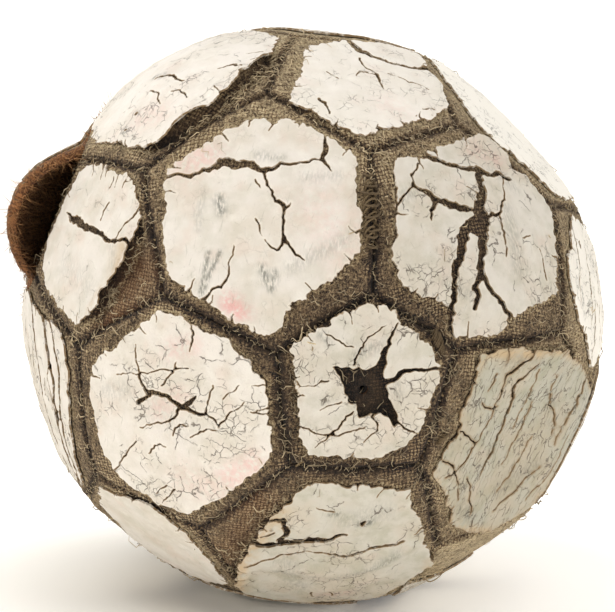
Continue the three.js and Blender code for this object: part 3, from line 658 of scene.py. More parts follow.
class Coat:
    """What is left of one panel's coat: its outline, its cracks, and the marks on it."""

    def __init__(self, panel):
        self.panel = panel
        self.seed = SEEDS[panel.name]
        rng = np.random.default_rng(self.seed)
        facts = DAMAGE.get(panel.name, {})
        outline = np.array(facts["outline"], float) if "outline" in facts else plain_outline(panel, rng)
        closed = ragged(ragged(np.vstack([outline, outline[:1]]), 4.5, 0.55, rng), 1.6, 0.3, rng)
        self.outline = closed[:-1]
        self.bare = [ragged(hole + hole[:1], 1.6, 0.3, rng)[:-1] for hole in facts.get("bare", [])]
        cracks = facts.get("cracks", [] if facts else plain_cracks(panel, rng)) + edge_cracks(outline, rng)
        if "stretched" in facts:
            cracks = cracks + stretched_cracks(panel, facts["stretched"], rng)
        self.cracks = [(ragged(ragged(line, 2.6, 0.5, rng), 1.0, 0.2, rng), widths)
                       for line, widths in cracks]
        self.lifted, self.folds = facts.get("lifted", []), facts.get("folds", [])
        self.smudges, self.blush = facts.get("smudges", []), facts.get("blush", [])
        self.stains = facts.get("stains", [])
        self.rust, self.gaps = facts.get("rust", []), facts.get("gaps", [])
        self.cup, self.craze = facts.get("cup", 0.35), facts.get("craze", 0.3)
        self.grime = facts.get("grime", 0.3)

    def cover(self, flat):
        """The distance of flat points inside the coat's outer edge, below zero outside it."""
        closed = np.vstack([self.outline, self.outline[:1]])
        return line_gap(flat, closed)[0] * np.where(is_inside(flat, self.outline), 1, -1)

    def depth(self, flat):
        """How far inside the coat a flat point is, below zero on bare cloth: the distance within the
        ragged outline, or beyond a bare patch or a crack's half width, whichever is least."""
        coarse, fine = smooth_noise(flat, 1.8, self.seed + 1), smooth_noise(flat, 0.95, self.seed + 7)
        depth = self.cover(flat) + 0.6 * coarse + 0.45 * fine
        for hole in self.bare:
            gap = line_gap(flat, np.vstack([hole, hole[:1]]))[0]
            depth = np.minimum(depth, gap * np.where(is_inside(flat, hole), -1, 1))
        swing = 1 + 0.45 * smooth_noise(flat, 1.4, self.seed + 2)
        for line, widths in self.cracks:
            reach = np.ptp(line, axis=0).max() + 8
            near = (np.abs(flat - line.mean(axis=0)).max(axis=1) < reach).nonzero()[0]
            gap, _, share = line_gap(flat[near], line)
            width = np.interp(share, np.linspace(0, 1, len(widths)), widths)
            depth[near] = np.minimum(depth[near], gap - width * swing[near])
        return depth

    def snap(self, flat, cell):
        """Lattice points within half a cell of a crack moved on to it, so that even a thin crack parts
        the coat."""
        best, moved = np.full(len(flat), cell * 0.5), flat.copy()
        for line, _ in self.cracks:
            gap, foot, share = line_gap(flat, line)
            near = (gap < best) & (share > 0) & (share < 1)
            moved[near], best[near] = foot[near], gap[near]
        return moved

    def relief(self, flat):
        """The panel's own unevenness: broad soft lumps, and folds as bell curves across their lines."""
        height = 0.35 * smooth_noise(flat, 13, self.seed + 3) + 0.12 * smooth_noise(flat, 4, self.seed + 4)
        for line, rise, reach in self.folds:
            height = height + rise * np.exp(-((line_gap(flat, np.array(line, float))[0] / reach) ** 2))
        return height * (self.panel.seam_gap(flat) / 8).clip(0, 1)

    def lift(self, flat, depth):
        """How far the coat stands off the cloth: curled up at every edge, and more along the lifted
        stretches."""
        raised = self.cup * np.exp(-np.maximum(depth, 0) / 1.5)
        for start, end, rise, reach in self.lifted:
            gap = line_gap(flat, np.array([start, end], float))[0]
            raised = raised + rise * np.exp(-((gap / 6) ** 2)) * np.exp(-np.maximum(depth, 0) / reach)
        return raised


COATS = {name: Coat(panel) for name, panel in PANELS.items()}


# ---- meshes ----
def make_mesh(name, points, faces, material, numbers=None, maps=None, sharp=None):
    """A mesh object at the origin from points in millimetres, with numbers and flat places for each
    point, and edges sharper than an angle in degrees left unsmoothed."""
    mesh = bpy.data.meshes.new(name)
    mesh.from_pydata((points / METRE).tolist(), [], [face.tolist() for group in faces for face in group])
    mesh.polygons.foreach_set("use_smooth", np.ones(len(mesh.polygons), bool))
    for key, values in (numbers or {}).items():
        mesh.attributes.new(key, "FLOAT", "POINT").data.foreach_set("value", values.astype(np.float32))
    corner = np.zeros(len(mesh.loops), np.int32)
    mesh.loops.foreach_get("vertex_index", corner)
    for key, values in (maps or {}).items():
        mesh.uv_layers.new(name=key).data.foreach_set("uv", values[corner].astype(np.float32).ravel())
    if sharp:
        mesh.set_sharp_from_angle(angle=np.radians(sharp))
    mesh.materials.append(material)
    made = bpy.data.objects.new(name, mesh)
    bpy.context.scene.collection.objects.link(made)
    return made


ROW_STEP = 0.866            # height of an equal-sided triangle with sides of 1


def lattice(half, cell):
    """A square of evenly spaced points in rows that are half a cell out of step, and its triangles."""
    rows, columns = int(2 * half / (cell * ROW_STEP)), int(2 * half / cell)
    row, column = np.mgrid[: rows + 1, : columns + 1]
    points = np.stack([(column + 0.5 * (row % 2)) * cell, row * cell * ROW_STEP], axis=-1)
    points = points.reshape(-1, 2) - half
    index = row * (columns + 1) + column
    a, b, c, d = index[:-1, :-1], index[:-1, 1:], index[1:, :-1], index[1:, 1:]
    even = (row[:-1, :-1] % 2 == 0)[..., None]
    first = np.where(even, np.stack([a, b, c], axis=-1), np.stack([a, b, d], axis=-1))
    second = np.where(even, np.stack([b, d, c], axis=-1), np.stack([a, d, c], axis=-1))
    return points, np.vstack([first.reshape(-1, 3), second.reshape(-1, 3)])


def clip_lattice(points, triangles, depth):
    """The part of the lattice where depth is above zero. A triangle on the border keeps one or two
    corners and gets new ones where the depth, taken as straight along its sides, reaches zero."""
    kept = depth > 0
    count = kept[triangles].sum(axis=1)

    def turned(rows, marks):
        """Each triangle's corners in the same order, starting from its marked one."""
        first = marks[rows].argmax(axis=1)
        return np.take_along_axis(rows, (first[:, None] + np.arange(3)) % 3, axis=1)

    one, two = turned(triangles[count == 1], kept), turned(triangles[count == 2], ~kept)
    sides = np.vstack([one[:, [0, 1]], one[:, [0, 2]], two[:, [0, 1]], two[:, [0, 2]]])
    pairs, at = np.unique(np.sort(sides, axis=1), axis=0, return_inverse=True)
    low, high = depth[pairs[:, 0]], depth[pairs[:, 1]]
    share = (low / (low - high))[:, None]
    border = points[pairs[:, 0]] * (1 - share) + points[pairs[:, 1]] * share
    ends = np.cumsum([len(one), len(one), len(two)])
    one_b, one_c, two_b, two_c = np.split(at.ravel() + len(points), ends)
    faces = np.vstack([
        triangles[count == 3],
        np.stack([one[:, 0], one_b, one_c], axis=1),
        np.stack([two_b, two[:, 1], two[:, 2]], axis=1),
        np.stack([two_b, two[:, 2], two_c], axis=1),
    ])
    used, faces = np.unique(faces, return_inverse=True)
    return (np.vstack([points, border])[used], np.append(depth, np.zeros(len(border)))[used],
            faces.reshape(-1, 3))


def border_edges(faces, count):
    """Directed sides of triangles whose other direction no triangle has."""
    sides = np.vstack([faces[:, [0, 1]], faces[:, [1, 2]], faces[:, [2, 0]]])
    keys, back = sides[:, 0] * count + sides[:, 1], sides[:, 1] * count + sides[:, 0]
    return sides[~np.isin(keys, back)]


def twice(values):
    """The same values for the upper and the lower side of a sheet."""
    return np.concatenate([values, values])


LEAST_DEPTH = 0.04          # no lattice point is nearer to the coat's edge, so no sliver is cut
CRAZE_TURN = np.array([[0.97, 0.26], [-0.26, 0.97]])    # the hairlines' pattern lies a little askew
DENTED_STRETCH = (1.25, 0.42)                           # and is drawn out on the dented panel
SHARP_ANGLE = 48


def coat_piece(coat, material):
    """A closed sheet: the clipped lattice on the panel, a copy of it below, and a wall between them all
    round. The top is thinner just at its broken edge, and both follow the panel's relief and the
    coat's lift."""
    panel = coat.panel
    cell = FINE_CELL if panel.name in FRONT else COARSE_CELL
    flat, triangles = lattice(LATTICE_HALF, cell)
    near = panel.seam_gap(flat)[triangles].min(axis=1) > -2
    used, triangles = np.unique(triangles[near], return_inverse=True)
    flat = coat.snap(flat[used], cell)
    depth = coat.depth(flat)
    depth = np.where(np.abs(depth) < LEAST_DEPTH, np.where(depth < 0, -LEAST_DEPTH, LEAST_DEPTH), depth)
    flat, depth, faces = clip_lattice(flat, triangles.reshape(-1, 3), depth)
    base = coat.relief(flat) + coat.lift(flat, depth)
    worn = 0.16 * smooth_noise(flat, 2.4, coat.seed + 5)
    top = panel.surface(flat, base + COAT_THICKNESS + worn - 0.28 * np.exp(-depth / 0.45))
    bottom = panel.surface(flat, base + 0.02)
    count = len(flat)
    edge = border_edges(faces, count)
    walls = np.stack([edge[:, 1], edge[:, 0], edge[:, 0] + count, edge[:, 1] + count], axis=1)
    stretch = DENTED_STRETCH if panel.name == "dented" else (1, 1)
    craze_map = flat @ CRAZE_TURN * np.array(stretch)
    return make_mesh(
        f"coat_{panel.name}", np.vstack([top, bottom]), [faces, faces[:, ::-1] + count, walls], material,
        numbers={
            "edge": twice(depth),
            "craze": np.full(2 * count, coat.craze),
            "grime": np.full(2 * count, coat.grime),
            "smudge": twice(glow(flat, coat.smudges)),
            "blush": twice(glow(flat, coat.blush)),
            "stain": twice(glow(flat, coat.stains)),
        },
        maps={"flat": twice(flat), "crazing": twice(craze_map)},
        sharp=SHARP_ANGLE,
    )


def banded_faces(count, loops):
    """Quads between neighbouring loops of equal length, each loop closed on itself."""
    start = np.arange(loops - 1)[:, None] * count
    at, after = np.arange(count), np.roll(np.arange(count), -1)
    quads = [start + at, start + after, start + count + after, start + count + at]
    return np.stack(quads, axis=-1).reshape(-1, 4)


# How far the cloth of these panels has faded, wherever it lies. All cloth is paler near the top: painted
# light.
PALE_CLOTH = {"right_foot": 1.0, "dented": 0.35, "right": 0.4, "right_shoulder": 0.5, "right_side": 0.6,
              "left_foot": 0.25}


def soot(coat, flat, points):
    """How dark the cloth is: most round the valve, fading with the distance from it, and painted shade
    in the gaps under lifted coat."""
    away = np.linalg.norm(points - VALVE_PLACE, axis=1)
    lines = [(line, 1.2 * reach, min(0.5 * sink + 0.2, 1)) for line, sink, reach in coat.gaps]
    return np.maximum(0.85 * np.exp(-((away / 46) ** 2)), glow(flat, lines))


# Distances of the cloth's loops from the seam, on its outside and on its lining.
CLOTH_LOOPS = (SEAM_CLEARANCE, 0.6, 1.3, 2.2, 3.3, 4.8, 6.6, 9, 13, 19, 27)
LINING_LOOPS = (27, 15, 5, SEAM_CLEARANCE)
EDGE_STEPS = 28
# The valve's cloth keeps its first outer loops, and then has rings down through the needle hole:
# their radii, the distance from the seam that each one stands for, and how many are outside.
VALVE_OUTER_LOOPS = 9
NEEDLE_RINGS = (10, 4.5, NEEDLE_HOLE, NEEDLE_HOLE, 10)
NEEDLE_RING_GAPS = (21, 27, 30, 30, 21)
NEEDLE_RINGS_OUTSIDE = 3
MIDDLE_GAP, MIDDLE_COVER = 30, -10      # what the two middle points of any other panel stand for


def roll_share(gap):
    """How far into the rolled edge beside a seam a point lies: 0 inside it, 1 at the seam."""
    return (1 - gap / SEAM_ROLL).clip(0, 1)


def rolled_height(gap):
    """The quarter circle by which the cloth turns down at its seam, stopped just short of upright."""
    return -SEAM_DEPTH * (1 - np.sqrt(1 - roll_share(gap) ** 2 * 0.9999))


def cloth_piece(coat, material):
    """A closed laminate from loops parallel to the seams. The outer loops roll down to the seam along a
    quarter circle, pucker at each stitch and are lumpy where bare. The lining loops lie a cloth's
    thickness below."""
    panel = coat.panel
    after = np.roll(panel.corners, -1, axis=0)
    share = np.arange(EDGE_STEPS)[:, None] / EDGE_STEPS
    edge = (panel.corners[:, None] * (1 - share) + after[:, None] * share).reshape(-1, 2)
    along = np.tile(share[:, 0] * np.linalg.norm(panel.corners[0] - panel.corners[1]), len(panel.corners))
    count = len(edge)
    flats = [edge * (1 - gap / panel.seam_distance) for gap in CLOTH_LOOPS + LINING_LOOPS]
    gaps = np.repeat(CLOTH_LOOPS + LINING_LOOPS, count)
    outer_loops = len(CLOTH_LOOPS)
    if panel.name == "valve":
        rings = [unit(edge) * radius for radius in NEEDLE_RINGS]
        flats = flats[:VALVE_OUTER_LOOPS] + rings + flats[outer_loops + 1 :]
        gaps = np.repeat(CLOTH_LOOPS[:VALVE_OUTER_LOOPS] + NEEDLE_RING_GAPS + LINING_LOOPS[1:], count)
        outer_loops = VALVE_OUTER_LOOPS + NEEDLE_RINGS_OUTSIDE
    lining_from = outer_loops * count
    flat = np.vstack(flats)
    roll = roll_share(gaps)
    height = rolled_height(gaps) + coat.relief(flat)
    stitch_wave = np.cos(2 * np.pi * np.tile(along, len(flats)) / STITCH_PITCH)
    pucker = stitch_wave * np.exp(-((gaps - 1.5) / 2.2) ** 2)
    coat_gap = -coat.cover(flat)
    lump = smooth_noise(flat, 2.1, coat.seed + 6) * (coat_gap / 2).clip(0, 1)
    height = height + 0.25 * pucker + 0.34 * lump * (1 - roll) - 0.06
    sunk = sum((sink * np.exp(-((line_gap(flat, np.array(line, float))[0] / reach) ** 2))
                for line, sink, reach in coat.gaps), np.zeros(len(flat)))
    is_lining = np.arange(len(flat)) >= lining_from
    height[is_lining] = (coat.relief(flat) - CLOTH_THICKNESS - SEAM_DEPTH * roll**2)[is_lining]
    points = panel.surface(flat, height - sunk)
    if panel.name == "flap":
        is_lining = is_lining | (gaps < 4)
    faces = [banded_faces(count, len(flats))]
    first, last = np.arange(count), np.arange(count) + (len(flats) - 1) * count
    faces.append(np.stack([last, np.roll(last, -1), np.roll(first, -1), first], axis=1))
    if panel.name != "valve":
        ring = np.arange(count) + (outer_loops - 1) * count
        skip = (faces[0] // count).min(axis=1) == outer_loops - 1
        faces[0] = faces[0][~skip]
        lining = ring + count
        middle = np.zeros((1, 2))
        tips = np.vstack([panel.surface(middle, coat.relief(middle) - 0.06),
                          panel.surface(middle, coat.relief(middle) - CLOTH_THICKNESS)])
        tip = len(points)
        faces.append(np.stack([ring, np.roll(ring, -1), np.full(count, tip)], axis=1))
        faces.append(np.stack([np.roll(lining, -1), lining, np.full(count, tip + 1)], axis=1))
        points = np.vstack([points, tips])
        flat = np.vstack([flat, np.zeros((2, 2))])
        gaps, coat_gap = np.append(gaps, [MIDDLE_GAP] * 2), np.append(coat_gap, [MIDDLE_COVER] * 2)
        is_lining = np.append(is_lining, [False, True])
    return make_mesh(
        f"cloth_{panel.name}", points, faces, material,
        numbers={
            "seam": gaps,
            "bare": coat_gap,
            "lining": is_lining.astype(float),
            "rust": glow(flat, coat.rust),
            # Darker round the valve, and painted shade in the gaps under lifted coat.
            "soot": soot(coat, flat, points),
            # Painted light: paler near the top; or the panel's own fading, whichever is more.
            "pale": np.maximum(((points[:, 2] - 150) / 75).clip(0, 0.8), PALE_CLOTH.get(panel.name, 0)),
        },
        maps={"flat": flat},
    )


# ---- twine and fibres ----
def strands(paths, radii, sides, blunt):
    """Thin closed tubes: a ring of points round each place of each path, square to its way, as wide as
    the radius there. Paths are (strand, place, 3) and radii (strand, place). A blunt strand keeps its
    width to the end, and the last ring of any other is drawn in almost to a point."""
    way = unit(np.gradient(paths, axis=1))
    guide = np.where(np.abs(way[:, :1, 2:]) < 0.8, [[[0, 0, 1.0]]], [[[1.0, 0, 0]]])
    across = unit(np.cross(way, np.broadcast_to(guide, way.shape)))
    over = np.cross(way, across)
    angle = 2 * np.pi * np.arange(sides) / sides
    ring = (np.cos(angle)[:, None] * across[:, :, None] + np.sin(angle)[:, None] * over[:, :, None])
    points = paths[:, :, None] + radii[:, :, None, None] * ring
    number, places = paths.shape[:2]
    size = places * sides
    start = (np.arange(number) * size)[:, None, None]
    row, at = (np.arange(places - 1) * sides)[None, :, None], np.arange(sides)[None, None]
    after = (at + 1) % sides
    here, ahead = start + row, start + row + sides
    bands = np.stack([here + at, ahead + at, ahead + after, here + after], axis=-1)
    faces = [bands.reshape(-1, 4)]
    caps = (np.arange(number) * size)[:, None] + np.arange(sides)
    faces.append(caps)
    faces.append((caps + size - sides)[:, ::-1])
    if not blunt:
        points[:, -1] = paths[:, -1, None] + 0.12 * radii[:, -1, None, None] * ring[:, -1]
    return points.reshape(-1, 3), faces, np.repeat(np.arange(number), size)


def strand_piece(name, paths, radii, sides, shades, material, blunt=False):
    """One mesh of many strands, each with its own shade from 0 (dark) to 1 (pale)."""
    points, faces, number_of = strands(paths, radii, sides, blunt)
    return make_mesh(name, points, faces, material, numbers={"shade": shades[number_of]})


def neighbours():
    """Each pair of panels that share a seam, with the seam's two corners."""
    owner = {}
    for panel in PANELS.values():
        for k, corner in enumerate(panel.corner_names):
            owner[(corner, panel.corner_names[(k + 1) % len(panel.corner_names)])] = panel
    return [(panel, owner[(b, a)], a, b) for (a, b), panel in owner.items() if a < b]


OPEN_SIDES = {"left", "left_shoulder", "left_side"}      # the flap's lost seams
STITCH_HALF = 2.0           # how far a stitch reaches to each side of its seam


def seam_stitches(material):
    """Short bars of waxed twine at an even pitch across every seam that still holds, bowed down into the
    crease. One in five is missing, and the rest are knocked a little out of place."""
    paths = []
    for one, other, start, end in neighbours():
        if "flap" in (one.name, other.name) and OPEN_SIDES & {one.name, other.name}:
            continue
        a, b = place(*start), place(*end)
        length = np.linalg.norm(a - b) * CLOTH_RADIUS
        at = np.arange(STITCH_PITCH / 2, length, STITCH_PITCH) / length
        middle = unit(a * (1 - at[:, None]) + b * at[:, None])
        across = unit(one.middle - middle * (middle @ one.middle)[:, None])
        slant = unit(b - a) * 0.35
        offsets = np.linspace(-1, 1, 6)
        aside = (across + slant)[:, None] * offsets[:, None] * STITCH_HALF / CLOTH_RADIUS
        directions = unit(middle[:, None] + aside)
        height = np.broadcast_to(-1.15 - 0.5 * np.cos(offsets * np.pi / 2), directions.shape[:2])
        height = height - 0.9 * np.abs(offsets) ** 6
        paths.append(on_ball(directions.reshape(-1, 3), height.ravel()).reshape(directions.shape))
    rng = np.random.default_rng(5)
    paths = np.vstack(paths)
    paths = paths[rng.random(len(paths)) < 0.8]
    paths = paths + rng.normal(0, 0.25, (len(paths), 1, 3)) + rng.normal(0, 0.12, paths.shape)
    radii = np.array([0.2, 0.3, 0.33, 0.33, 0.3, 0.2]) * rng.uniform(0.8, 1.25, (len(paths), 1))
    return strand_piece("seam_stitches", paths, radii, 6, rng.random(len(paths)), material, blunt=True)


def curly_paths(root, outwards, length, places, curl, stand, rng):
    """Fibres that run off sideways while two sine waves of random pace wind them about, and a bow lifts
    them."""
    count = len(root)
    guide = unit(rng.normal(size=(count, 3)))
    side = unit(np.cross(outwards, guide))
    over = np.cross(outwards, side)
    t = np.linspace(0, 1, places)[None, :, None]
    pace = rng.uniform(4, 13, (2, count, 1, 1))
    turn = rng.uniform(0, 2 * np.pi, (2, count, 1, 1))
    wave = [np.sin(pace[k] * t + turn[k]) - np.sin(turn[k]) for k in (0, 1)]
    size = length[:, None, None]
    bow = (stand[:, None, None] * np.sin(np.pi * (0.15 + 0.75 * t)) - 0.3) * outwards[:, None]
    return (root[:, None] + size * t * side[:, None] + bow * size
            + curl * size * (wave[0] * over[:, None] + 0.6 * wave[1] * outwards[:, None]))


def rooted(panel, flat, height):
    """Places on a panel and the ways straight out of it."""
    base = panel.surface(flat, height)
    return base, unit(panel.surface(flat, height + 1.0) - base)


ROOTS_TRIED = 40            # random places tried for each fibre that a panel may keep
FIBRE_PLACES = 5            # points along one fibre


def fuzz(name, panels, number, material, seed, near_coat):
    """Torn fibres of the cloth: roots spread at random over each panel's bare cloth, close beside the
    coat's broken edges or along the seams, each a fine curly strand with its own shade. The shades run
    darker round the valve and paler near the top, the latter as painted light."""
    rng = np.random.default_rng(seed)
    roots, ways, shades = [], [], []
    for panel in panels:
        coat = COATS[panel.name]
        flat = rng.uniform(-SCATTER_HALF, SCATTER_HALF, (number * ROOTS_TRIED, 2))
        gap = panel.seam_gap(flat)
        flat, gap = flat[gap > 0.25], gap[gap > 0.25]
        depth = -coat.cover(flat)
        if near_coat:
            torn = -coat.depth(flat)
            chance = np.exp(-((torn / 1.1) ** 2)) * (torn > 0) * np.where(depth > -1, 1, 0.3)
        else:
            chance = np.exp(-gap / 4.5) * (depth > 0.6)
        tufted = (0.5 + 0.5 * smooth_noise(flat, 5.0, coat.seed + 8)).clip(0.1, 1)
        chosen = rng.random(len(flat)) < chance * tufted
        flat, gap = flat[chosen][:number], gap[chosen][:number]
        base, way = rooted(panel, flat, rolled_height(gap) + coat.relief(flat) - 0.1)
        roots.append(base)
        ways.append(way)
        dirt = np.exp(-((np.linalg.norm(base - VALVE_PLACE, axis=1) / 50) ** 2))
        # Painted light: fibres paler the higher they root.
        high = ((base[:, 2] - 150) / 70).clip(0, 1)
        shade = rng.random(len(flat)) * (1.0 - 0.5 * dirt) + 0.3 * high + 0.15 * near_coat
        shades.append(shade.clip(0, 1))
    roots, ways, shades = np.vstack(roots), np.vstack(ways), np.concatenate(shades)
    count = len(roots)
    length = rng.gamma(5, 0.8 if near_coat else 1.0, count).clip(1.4, 12)
    paths = curly_paths(roots, ways, length, FIBRE_PLACES, 0.14, rng.uniform(0.05, 0.4, count), rng)
    paths[..., 2] = np.maximum(paths[..., 2], FLOOR_GAP)
    thin = rng.uniform(0.1, 0.25, (count, 1)) * np.linspace(1, 0.6, FIBRE_PLACES)
    return strand_piece(name, paths, thin, 3, shades, material)


NAP_TRIED, NAP_KEPT, NAP_PLACES = 30000, 5400, 4
NAP_RIM = 3.5               # width of the band with longer nap


def flap_nap(material):
    """A dense short nap on the torn panel's lining, and longer round its rim, leaning away from the
    middle."""
    rng = np.random.default_rng(77)
    panel = PANELS["flap"]
    flat = rng.uniform(-SCATTER_HALF, SCATTER_HALF, (NAP_TRIED, 2))
    flat = flat[panel.seam_gap(flat) > 0.2]
    chosen = rng.random(len(flat)) < np.where(panel.seam_gap(flat) < NAP_RIM, 1, 0.3)
    flat = flat[chosen][:NAP_KEPT]
    rim = panel.seam_gap(flat) < NAP_RIM
    height = np.where(rim, rng.uniform(-4.2, -0.8, len(flat)), -CLOTH_THICKNESS + 0.2)
    base, way = rooted(panel, flat, height + COATS["flap"].relief(flat))
    aside = unit(base - panel.surface(flat * 0.9, height))
    over_rim = unit(aside + rng.normal(0, 0.5, way.shape))
    inwards = unit(-way + rng.normal(0, 0.55, way.shape))
    leaning = np.where(rim[:, None], over_rim, inwards)
    length = np.where(rim, rng.uniform(1.8, 5.8, len(flat)), rng.uniform(1.0, 3.2, len(flat)))
    t = np.linspace(0, 1, NAP_PLACES)[None, :, None]
    bend = rng.normal(0, 0.4, (len(flat), 1, 3))
    paths = base[:, None] + length[:, None, None] * (t * leaning[:, None] + t**2 * bend)
    thin = rng.uniform(0.08, 0.17, (len(flat), 1)) * np.linspace(1, 0.4, NAP_PLACES)
    # Random shades, a little paler at the rim, and painted shade and light: darker the lower the root lies,
    # paler higher up.
    shade = 0.4 * rng.random(len(flat)) + 0.6 * ((base[:, 2] - 125) / 45).clip(0, 1) + 0.12 * rim
    return strand_piece("flap_nap", paths, thin, 3, shade.clip(0, 1), material)


# Knotted yarn left in a seam: panel, its ends, radius of the coil and of the yarn, and turns.
KNOTS = [
    ("upper_left", (36.2, 16), (37.4, -6), 2.6, 0.42, 7),
    ("upper_left", (35.6, 13), (37.0, -5), 2.3, 0.36, 10),
    ("valve", (26.5, 17), (31, 8), 1.7, 0.36, 10),
    ("lower", (38, -8), (41, -15), 1.2, 0.3, 9),
    ("dented", (-36, -2), (-33, 3), 1.2, 0.3, 8),
]
KNOT_PLACES = 130           # points along one knot's yarn


def yarn_knots(material):
    """Lumps of wound yarn: a coil that advances along a line on the cloth, its radius swelling at the
    middle, with its turns unevenly spaced, sized and tilted."""
    rng = np.random.default_rng(9)
    turns_at = np.linspace(0, 1, KNOT_PLACES)
    paths, radii = [], []
    for name, start, end, radius, yarn, turns in KNOTS:
        flat = np.array(start, float) + turns_at[:, None] * (np.array(end, float) - start)
        base, way = rooted(PANELS[name], flat, np.full(KNOT_PLACES, 0.2))
        along = unit(np.gradient(base, axis=0))
        across = np.cross(along, way)
        angle = 2 * np.pi * turns * turns_at
        angle = angle + np.interp(turns_at, np.linspace(0, 1, 14), rng.normal(0, 1.1, 14))
        wobble = np.interp(turns_at, np.linspace(0, 1, 33), rng.uniform(0.55, 1.25, 33))
        swell = radius * np.sqrt(np.sin(np.pi * (0.06 + 0.88 * turns_at))) * wobble
        tilt = rng.choice([-0.8, 0.8]) * swell * np.sin(angle + rng.uniform(0, 3))
        out, aside = swell * np.cos(angle), swell * np.sin(angle)
        paths.append(base + out[:, None] * way + aside[:, None] * across + tilt[:, None] * along)
        radii.append(np.full(KNOT_PLACES, yarn))
    shades = rng.uniform(0.1, 0.45, len(KNOTS))
    return strand_piece("yarn_knots", np.array(paths), np.array(radii), 6, shades, material, blunt=True)


# Tufts of loose thread: panel, where they leave it, how many, their length, and their lean in the
# panel's frame.
LOOSE_THREADS = [
    ("lower", (37, -24), 26, 10.0, (0.8, -0.6)),
    ("lower", (-27, -4), 16, 6.5, (-0.8, 0.1)),
    ("lower", (-20, 18), 12, 6.0, (-0.6, 0.6)),
    ("dented", (33, -34), 5, 9.0, (0.4, -0.9)),
    ("dented", (24, 34), 10, 8.0, (0.2, 0.4)),
    ("right", (-31, -10), 8, 8.0, (-0.4, -0.5)),
    ("crown", (16, 31), 6, 6.0, (0.1, 0.9)),
    ("top", (6, -30), 6, 7.0, (0.2, 0.3)),
    ("upper_right", (-28, 30), 14, 9.0, (0.1, 0.1)),
    ("upper_left", (36, 14), 12, 8.0, (0.1, 0.2)),
    ("upper_left", (12, -34), 10, 8.0, (0.4, -0.3)),
    ("left_foot", (26, 20), 8, 6.0, (0.2, 0.2)),
]
THREAD_PLACES = 12          # points along one loose thread


def loose_threads(material):
    """Thicker frayed yarns in tufts, each winding away from its root with the tuft's lean."""
    rng = np.random.default_rng(31)
    paths, radii = [], []
    for name, spot, number, length, lean in LOOSE_THREADS:
        panel = PANELS[name]
        flat = np.array(spot, float) + rng.normal(0, 2.2, (number, 2))
        base, way = rooted(panel, flat, np.full(number, -0.5))
        drift = (lean[0] * (LIE @ panel.right) + lean[1] * (LIE @ panel.up)) * length * 0.6
        lengths = length * rng.uniform(0.5, 1.2, number)
        stand = rng.uniform(0.1, 0.5, number)
        path = curly_paths(base, way, lengths * 0.75, THREAD_PLACES, 0.17, stand, rng)
        paths.append(path + np.linspace(0, 1, THREAD_PLACES)[None, :, None] * drift)
        radii.append(rng.uniform(0.14, 0.32, (number, 1)) * np.linspace(1, 0.7, THREAD_PLACES))
    paths, radii = np.vstack(paths), np.vstack(radii)
    paths[..., 2] = np.maximum(paths[..., 2], FLOOR_GAP)
    return strand_piece("loose_threads", paths, radii, 4, rng.uniform(0.3, 1, len(paths)), material)


def slack_bladder(material):
    """A thin shell round the ball's axis through the valve: rings from the neck to the far pole outside,
    and back inside. Soft waves of the direction sink its wall into folds."""
    around, rings = 96, 60
    neck = NECK_RADIUS / CLOTH_RADIUS
    polar = np.concatenate([np.linspace(neck, np.pi - 0.03, rings), np.linspace(np.pi - 0.03, neck, rings)])
    turn = np.linspace(0, 2 * np.pi, around, endpoint=False)
    polar, turn = polar.repeat(around), np.tile(turn, 2 * rings)
    ways = np.stack([np.sin(polar) * np.cos(turn), np.sin(polar) * np.sin(turn), np.cos(polar)], axis=1)
    outer = np.arange(len(ways)) < rings * around
    wave = smooth_noise(ways * 10, 3.2, 41) + 0.5 * np.abs(smooth_noise(ways * 10, 1.4, 42))
    sink = BLADDER_DEPTH + 1.3 + 1.1 * wave + np.where(outer, 0, BLADDER_WALL)
    points = on_ball(ways, -sink)
    faces = banded_faces(around, 2 * rings)
    crossing = (faces // around).min(axis=1) == rings - 1
    faces = faces[~crossing][:, ::-1]
    first, last = np.arange(around), np.arange(around) + (2 * rings - 1) * around
    rim = np.stack([first, np.roll(first, -1), np.roll(last, -1), last], axis=1)
    pole = np.arange(around) + (rings - 1) * around
    tips = np.vstack([points[pole].mean(axis=0), points[pole + around].mean(axis=0)])
    tip = len(points)
    outer_cap = np.stack([pole, np.full(around, tip), np.roll(pole, -1)], axis=1)
    inner_cap = np.stack([np.roll(pole, -1) + around, np.full(around, tip + 1), pole + around], axis=1)
    faces = [faces, rim, outer_cap, inner_cap]
    return make_mesh("slack_bladder", np.vstack([points, tips]), faces, material)


# ---- shaders ----
def colour(code):
    """A hex colour as linear light: each channel's display value undone by the display's curve."""
    shares = np.array([int(code[k : k + 2], 16) / 255 for k in (0, 2, 4)])
    linear = np.where(shares <= 0.04045, shares / 12.92, ((shares + 0.055) / 1.055) ** 2.4)
    return (*linear.tolist(), 1.0)


class Value:
    """A shader socket. Python's operators on it add Math nodes."""

    def __init__(self, shader, socket):
        self.shader, self.socket = shader, socket

    def math(self, operation, first, *others):
        """A Math node on these values or numbers, in this order."""
        values = dict(enumerate((first, *others)))
        return self.shader.add("ShaderNodeMath", {"operation": operation}, values)

    def __add__(self, other):
        return self.math("ADD", self, other)

    def __sub__(self, other):
        return self.math("SUBTRACT", self, other)

    def __mul__(self, other):
        return self.math("MULTIPLY", self, other)

    def __rsub__(self, other):
        return self.math("SUBTRACT", other, self)

    __radd__ = __add__
    __rmul__ = __mul__

    def larger(self, other):
        """Whichever of the two is larger."""
        return self.math("MAXIMUM", self, other)

    def smaller(self, other):
        """Whichever of the two is smaller."""
        return self.math("MINIMUM", self, other)

    def size(self):
        """The value without its sign."""
        return self.math("ABSOLUTE", self)

    def cosine(self):
        """The cosine of an angle in radians."""
        return self.math("COSINE", self)

    def step(self, low, high):
        """A smooth step: 0 below low, 1 above high; the other way round if low is the greater."""
        ends = {"From Min": min(low, high), "From Max": max(low, high), "To Min": float(low > high),
                "To Max": float(low < high), "Value": self}
        return self.shader.add("ShaderNodeMapRange", {"interpolation_type": "SMOOTHSTEP"}, ends)


